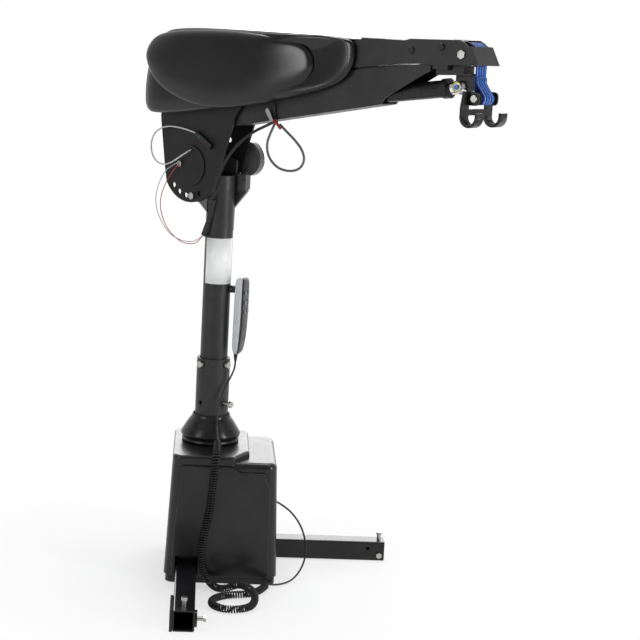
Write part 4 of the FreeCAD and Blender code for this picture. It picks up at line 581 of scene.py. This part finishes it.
def shell_half(u):
    """Half the body's width, narrowing to the arm."""
    return 65 - 20 * ease(u, 215, 165)


def cap_half(u):
    return 75.5 - 15 * ease(u, 140, 150)


COVER_LINE = smooth_loop([
    (-142, 995.5), (-60, 1004), (40, 1020), (160, 1042), (268, 1066), (342, 1090), (378, 1122), (383, 1170),
    (360, 1185.5), (200, 1186), (40, 1186), (-60, 1184), (-132, 1176), (-166, 1146), (-182, 1100),
    (-190, 1050),
    (-186, 998)])
CAP_LINE = smooth_loop([
    (-181, 1116), (-160, 1076), (-118, 1047), (-55, 1027), (25, 1018), (120, 1030), (205, 1052),
    (266, 1086),
    (288, 1128), (262, 1168), (190, 1180), (100, 1184.5), (0, 1184), (-100, 1178), (-160, 1165),
    (-179, 1142)])
SIDE_STEPS = (0, 0.15, 0.32, 0.5, 0.66, 0.8, 0.9, 0.96, 0.99, 1)
FLAT_SHARE = 0.62
SLOT_HALF = 37
SEAM_STEP = 4
# The body's opening for arms and plates, in metres
OPEN_HALF = 0.03
OPEN_TOP = 1.181
OPEN_REAR_TOP = 1.1


def skin(name, rings, cap_ends=True):
    """Closed rings joined into one smooth skin."""
    count = len(rings[0])
    verts = [point for ring in rings for point in ring]
    faces = [(i * count + k, i * count + (k + 1) % count, (i + 1) * count + (k + 1) % count,
              (i + 1) * count + k)
             for i in range(len(rings) - 1) for k in range(count)]
    if cap_ends:
        faces += [tuple(range(count)), tuple(range(len(verts) - count, len(verts)))]
    thing = mesh_piece(name, verts, faces)
    mesh = bmesh.new()
    mesh.from_mesh(thing.data)
    bmesh.ops.recalc_face_normals(mesh, faces=mesh.faces)
    mesh.to_mesh(thing.data)
    mesh.free()
    return thing


def shrink(u, z, centre, share):
    return centre[0] + (u - centre[0]) * share, centre[1] + (z - centre[1]) * share


def cover_ring(side, step):
    """The body's outline at a share of the way from its slot's edge to its side face."""
    power, ring = 12, []
    for u, z in COVER_LINE:
        half = shell_half(u)
        share = SLOT_HALF / half + (1 - SLOT_HALF / half) * step
        inset = max(max(1 - share ** power, 0) ** (1 / power), FLAT_SHARE)
        across, height = shrink(u, z, (90, 1112), inset)
        ring.append(boom(across, share * half * side, height))
    return ring


def cover_body():
    """The body's skin, open below and in front where the arms and plates pass."""
    rings = ([cover_ring(-1, step) for step in reversed(SIDE_STEPS)]
             + [cover_ring(1, step) for step in SIDE_STEPS])
    thing = skin("cover_body", rings)
    low = boom(-150, 0, 0).dot(U)
    mesh = bmesh.new()
    mesh.from_mesh(thing.data)
    open_faces = []
    for face in mesh.faces:
        spot = face.calc_center_median()
        along = spot.dot(U)
        rear_top = along < 0 and spot.z > OPEN_REAR_TOP
        if (abs(spot.dot(V)) < OPEN_HALF and len(face.verts) == 4 and along > low and spot.z < OPEN_TOP
                and not rear_top):
            open_faces.append(face)
    bmesh.ops.delete(mesh, geom=open_faces, context="FACES")
    mesh.to_mesh(thing.data)
    mesh.free()
    wall = thing.modifiers.new("wall", "SOLIDIFY")
    wall.thickness = 0.003
    wall.offset = -1
    return thing


def cover_cap(name, side):
    """A teardrop with a crowned face, crisp along its lower rear edge and soft in front."""
    power, centre, rings = 4.5, (55, 1108), []
    for inset in (1, 0.997, 0.99, 0.975, 0.95, 0.92, 0.88, 0.83, 0.77, 0.7, 0.6, 0.48, 0.34, 0.18, 0.04):
        lift, ring = (1 - inset ** power) ** (1 / power), []
        for u, z in CAP_LINE:
            across, height = shrink(u, z, centre, inset)
            reach = math.hypot(u - centre[0], (z - centre[1]) * 2)
            toward = (-(u - centre[0]) * 0.5 - (z - centre[1]) * 2 * 0.87) / reach
            base = 40 + 20 * ease(toward, 0, 0.5)
            ring.append(boom(across, side * (base + (cap_half(across) - base) * lift), height))
        rings.append(ring)
    return skin(name, rings)


for piece, node in ((cover_body(), "head_cover"), (cover_cap("near_cap", -1), "near_cover_cap"),
                    (cover_cap("far_cap", 1), "far_cover_cap")):
    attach(paint(piece, "head_black"), "head")
    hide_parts(node)
for side, word in ((-1, "near"), (1, "far")):
    line = cover_ring(side, SIDE_STEPS[SEAM_STEP])
    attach(paint(tube_mesh("cover_seam_" + word, line + line[:1], 0.0007, 6), "head_black"), "head")

# Boot: a bell over a ribbed rim

BOOT_LINE = [(41, 345), (42, 344.4), (42, 339.5), (44, 337.4), (50, 329), (57, 317.5), (63.4, 307),
             (65.3, 302.4), (65.2, 299),
             (62.5, 294.5), (60.8, 292.4), (61, 291), (63, 289.2), (63, 285), (60, 284.6), (58, 289),
             (57, 296),
             (59, 302), (47, 326), (40.6, 334), (40.6, 345), (41, 345)]
boot = paint(skin("boot_bell", [
    [row(r * math.cos(t), r * math.sin(t), z) for t in [2 * math.pi * k / 64 for k in range(64)]]
    for r, z in BOOT_LINE], cap_ends=False), "boot_black")
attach(boot, "sleeve")
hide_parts("mast_boot")

# Handset: a grey shell with a crowned black panel

def handset(along, across, z):
    """Millimetres out from the mast's axis and across the handset to metres in the row frame."""
    turn = math.radians(-18)
    return row(along * math.cos(turn) - across * math.sin(turn),
               along * math.sin(turn) + across * math.cos(turn), z)


# Heights with the shell's back, its seam, its face and its half width
HANDSET_LINE = [
    (484.3, 51, 55, 57.5, 11), (486.5, 48, 57.2, 60, 14.5), (492, 46, 59, 62.2, 17.4),
    (502, 45, 60.8, 64.4, 19.6),
    (520, 45, 62.6, 66.6, 21), (545, 45.4, 64.2, 68.2, 21.6), (575, 45.8, 65.2, 69, 21.9),
    (610, 46, 65.4, 69.15, 22),
    (632, 46.2, 65.4, 69.15, 21.8), (643, 46.8, 65.2, 68.8, 20.8), (650, 48.2, 64.4, 67.6, 18.2),
    (653.6, 51, 62, 64.5, 14)]


def handset_ring(z, inner, outer, half, crown):
    """A rounded rectangle at one height, its outer side crowned."""
    ring, mid, deep = [], (inner + outer) / 2, (outer - inner) / 2
    for k in range(36):
        t = 2 * math.pi * (k + 0.5) / 36
        c, d = math.cos(t), math.sin(t)
        along = math.copysign(abs(c) ** 0.38, c) * deep
        across = math.copysign(abs(d) ** 0.38, d) * half
        if c > 0:
            along -= crown * (across / half) ** 2 * c
        ring.append(handset(mid + along, across, z))
    return ring


shell_rings = [handset_ring(z, back, seam, half, 0) for z, back, seam, face, half in HANDSET_LINE]
face_rings = [handset_ring(z, seam + 0.1 - 1.2, face, half - 0.5, 1.2)
              for z, back, seam, face, half in HANDSET_LINE]
for name, rings, finish_name, node in (("handset_shell", shell_rings, "case_grey", "handset_back"),
                                       ("handset_panel", face_rings, "case_black", "handset_front")):
    piece = paint(skin(name, rings), finish_name)
    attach(piece, "mast")
    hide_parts(node)
lathe("handset_peg", handset(30, 0, 626), handset(1, 0, 0), [(0, 7), (1, 8), (17, 8)], "case_black",
      "mast")


def box_mesh(name, spans):
    """A box over spans of u, v and z in the boom frame."""
    corners = [boom(u, v, z) for u in spans[0] for v in spans[1] for z in spans[2]]
    return mesh_piece(name, corners, [(0, 1, 3, 2), (4, 6, 7, 5), (0, 4, 5, 1), (2, 3, 7, 6), (0, 2, 6, 4),
                                      (1, 5, 7, 3)], smooth=False)


def soften(thing, width):
    """Rounds a piece's sharp edges by a width in millimetres."""
    bevel = thing.modifiers.new("edges", "BEVEL")
    bevel.width = width / 1000
    bevel.segments = 3
    bevel.limit_method = "ANGLE"
    bevel.angle_limit = math.radians(25)
    bevel.harden_normals = True


# Hook: the jaws' tips stand free of each other
source = frame["nodes"]["docking_hook"]
cutter = box_mesh("cutter", ((683, 695), (-29, 29), (1050, 1062)))
whole = bpy.data.objects.new("hook_whole", source.data.copy())
whole.matrix_world = source.matrix_world
scene.collection.objects.link(whole)
cut = whole.modifiers.new("tips", "BOOLEAN")
cut.object = cutter
cut.solver = "EXACT"
bpy.context.view_layer.update()
jaws = bpy.data.objects.new("hook_jaws", bpy.data.meshes.new_from_object(
    whole.evaluated_get(bpy.context.evaluated_depsgraph_get())))
jaws.matrix_world = source.matrix_world
scene.collection.objects.link(jaws)
bpy.data.objects.remove(whole)
bpy.data.objects.remove(cutter)
jaws.data.materials.clear()
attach(paint(jaws, "hook_black"), "hook")
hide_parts("docking_hook")
soften(jaws, 1.4)

# Black strip inside the near wall between arm and channel: a dark sheet that stands in for the shade in the
# seam, so no background shows through there
SEAM_SHADE_STRIP = [(376, 1114), (376, 1127), (545, 1143), (545, 1131)]
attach(paint(prism("seam_shade_strip", SEAM_SHADE_STRIP, -22, -20.5), "plate_black"), "head")

# Softened edges on the moulded and folded nodes
for node, width in (("upper_arm", 1.5), ("lower_channel", 1), ("boom_nose", 0.8), ("near_head_plate", 0.8),
                    ("far_head_plate", 0.8), ("head_cheeks", 0.8), ("clamp_screws", 0.5),
                    ("actuator_lug", 0.8)):
    soften(frame["nodes"][node], width)


# Stage and light

def floor_material():
    """Pale and shadow-catching by the object, plain white to the camera and in reflections further out."""
    mat, tree, node = shader("floor", (0.8, 0.8, 0.8), 0.8)
    tree.links.new(ramp(tree, noise(tree, 3, 4), 0.79, 0.81), node.inputs["Base Color"])
    glow = tree.nodes.new("ShaderNodeEmission")
    glow.inputs["Strength"].default_value = 1
    place = tree.nodes.new("ShaderNodeTexCoord")
    away = tree.nodes.new("ShaderNodeVectorMath")
    away.operation = "LENGTH"
    tree.links.new(place.outputs["Object"], away.inputs[0])
    fade = ramp(tree, away.outputs["Value"], 0.55, 1.0, 0.15, 0.7)
    rays = tree.nodes.new("ShaderNodeLightPath")
    seen = rays.outputs["Is Camera Ray"]
    for name in ("Is Glossy Ray", "Is Transmission Ray"):
        seen = combine(tree, "MAXIMUM", seen, rays.outputs[name])
    mix = tree.nodes.new("ShaderNodeMixShader")
    tree.links.new(combine(tree, "MULTIPLY", seen, fade), mix.inputs["Fac"])
    tree.links.new(node.outputs["BSDF"], mix.inputs[1])
    tree.links.new(glow.outputs["Emission"], mix.inputs[2])
    tree.links.new(mix.outputs["Shader"], tree.nodes["Material Output"].inputs["Surface"])
    return mat


floor = mesh_piece("floor", [(-12, -9, -0.0005), (12, -9, -0.0005), (12, 15, -0.0005), (-12, 15, -0.0005)],
                   [(0, 1, 2, 3)], smooth=False)
floor.data.materials.append(floor_material())

world = bpy.data.worlds.new("world")
scene.world = world
world.use_nodes = True
tree = world.node_tree
back = tree.nodes["Background"]
back.inputs["Color"].default_value = (0.9, 0.92, 0.95, 1)
back.inputs["Strength"].default_value = 0.32
white = tree.nodes.new("ShaderNodeBackground")
white.inputs["Color"].default_value = (1, 1, 1, 1)
rays = tree.nodes.new("ShaderNodeLightPath")
mixed = tree.nodes.new("ShaderNodeMixShader")
place = tree.nodes.new("ShaderNodeTexCoord")
split = tree.nodes.new("ShaderNodeSeparateXYZ")
tree.links.new(place.outputs["Generated"], split.inputs[0])
# The backdrop stands behind the hoist, so gloss and glass see it there and a dimmer room in front
backdrop = ramp(tree, split.outputs["Y"], 0.12, 1.0, 0.0, 0.4)
mirrored = combine(tree, "MAXIMUM", rays.outputs["Is Glossy Ray"], rays.outputs["Is Transmission Ray"])
shown = combine(tree, "MULTIPLY", mirrored, backdrop)
tree.links.new(combine(tree, "MAXIMUM", rays.outputs["Is Camera Ray"], shown), mixed.inputs["Fac"])
tree.links.new(back.outputs["Background"], mixed.inputs[1])
tree.links.new(white.outputs["Background"], mixed.inputs[2])
tree.links.new(mixed.outputs["Shader"], tree.nodes["World Output"].inputs["Surface"])


def lamp(name, place, target, size, power):
    light = bpy.data.lights.new(name, "AREA")
    light.shape = "RECTANGLE"
    light.size, light.size_y = size
    light.energy = power
    thing = bpy.data.objects.new(name, light)
    thing.location = place
    thing.rotation_euler = (Vector(target) - Vector(place)).to_track_quat("-Z", "Y").to_euler()
    thing.visible_camera = False
    scene.collection.objects.link(thing)


lamp("top_lamp", (0.1, 0.5, 3.0), (0, 0, 0.6), (1.8, 1.2), 50)
lamp("left_lamp", (-2.2, -1.8, 1.5), (0, 0, 0.7), (0.7, 1.6), 26)
lamp("right_lamp", (2.4, -1.6, 1.2), (0, 0, 0.85), (0.4, 1.9), 46)
lamp("back_lamp", (0.2, 3.2, 1.3), (0, 0, 0.7), (3.4, 1.6), 48)
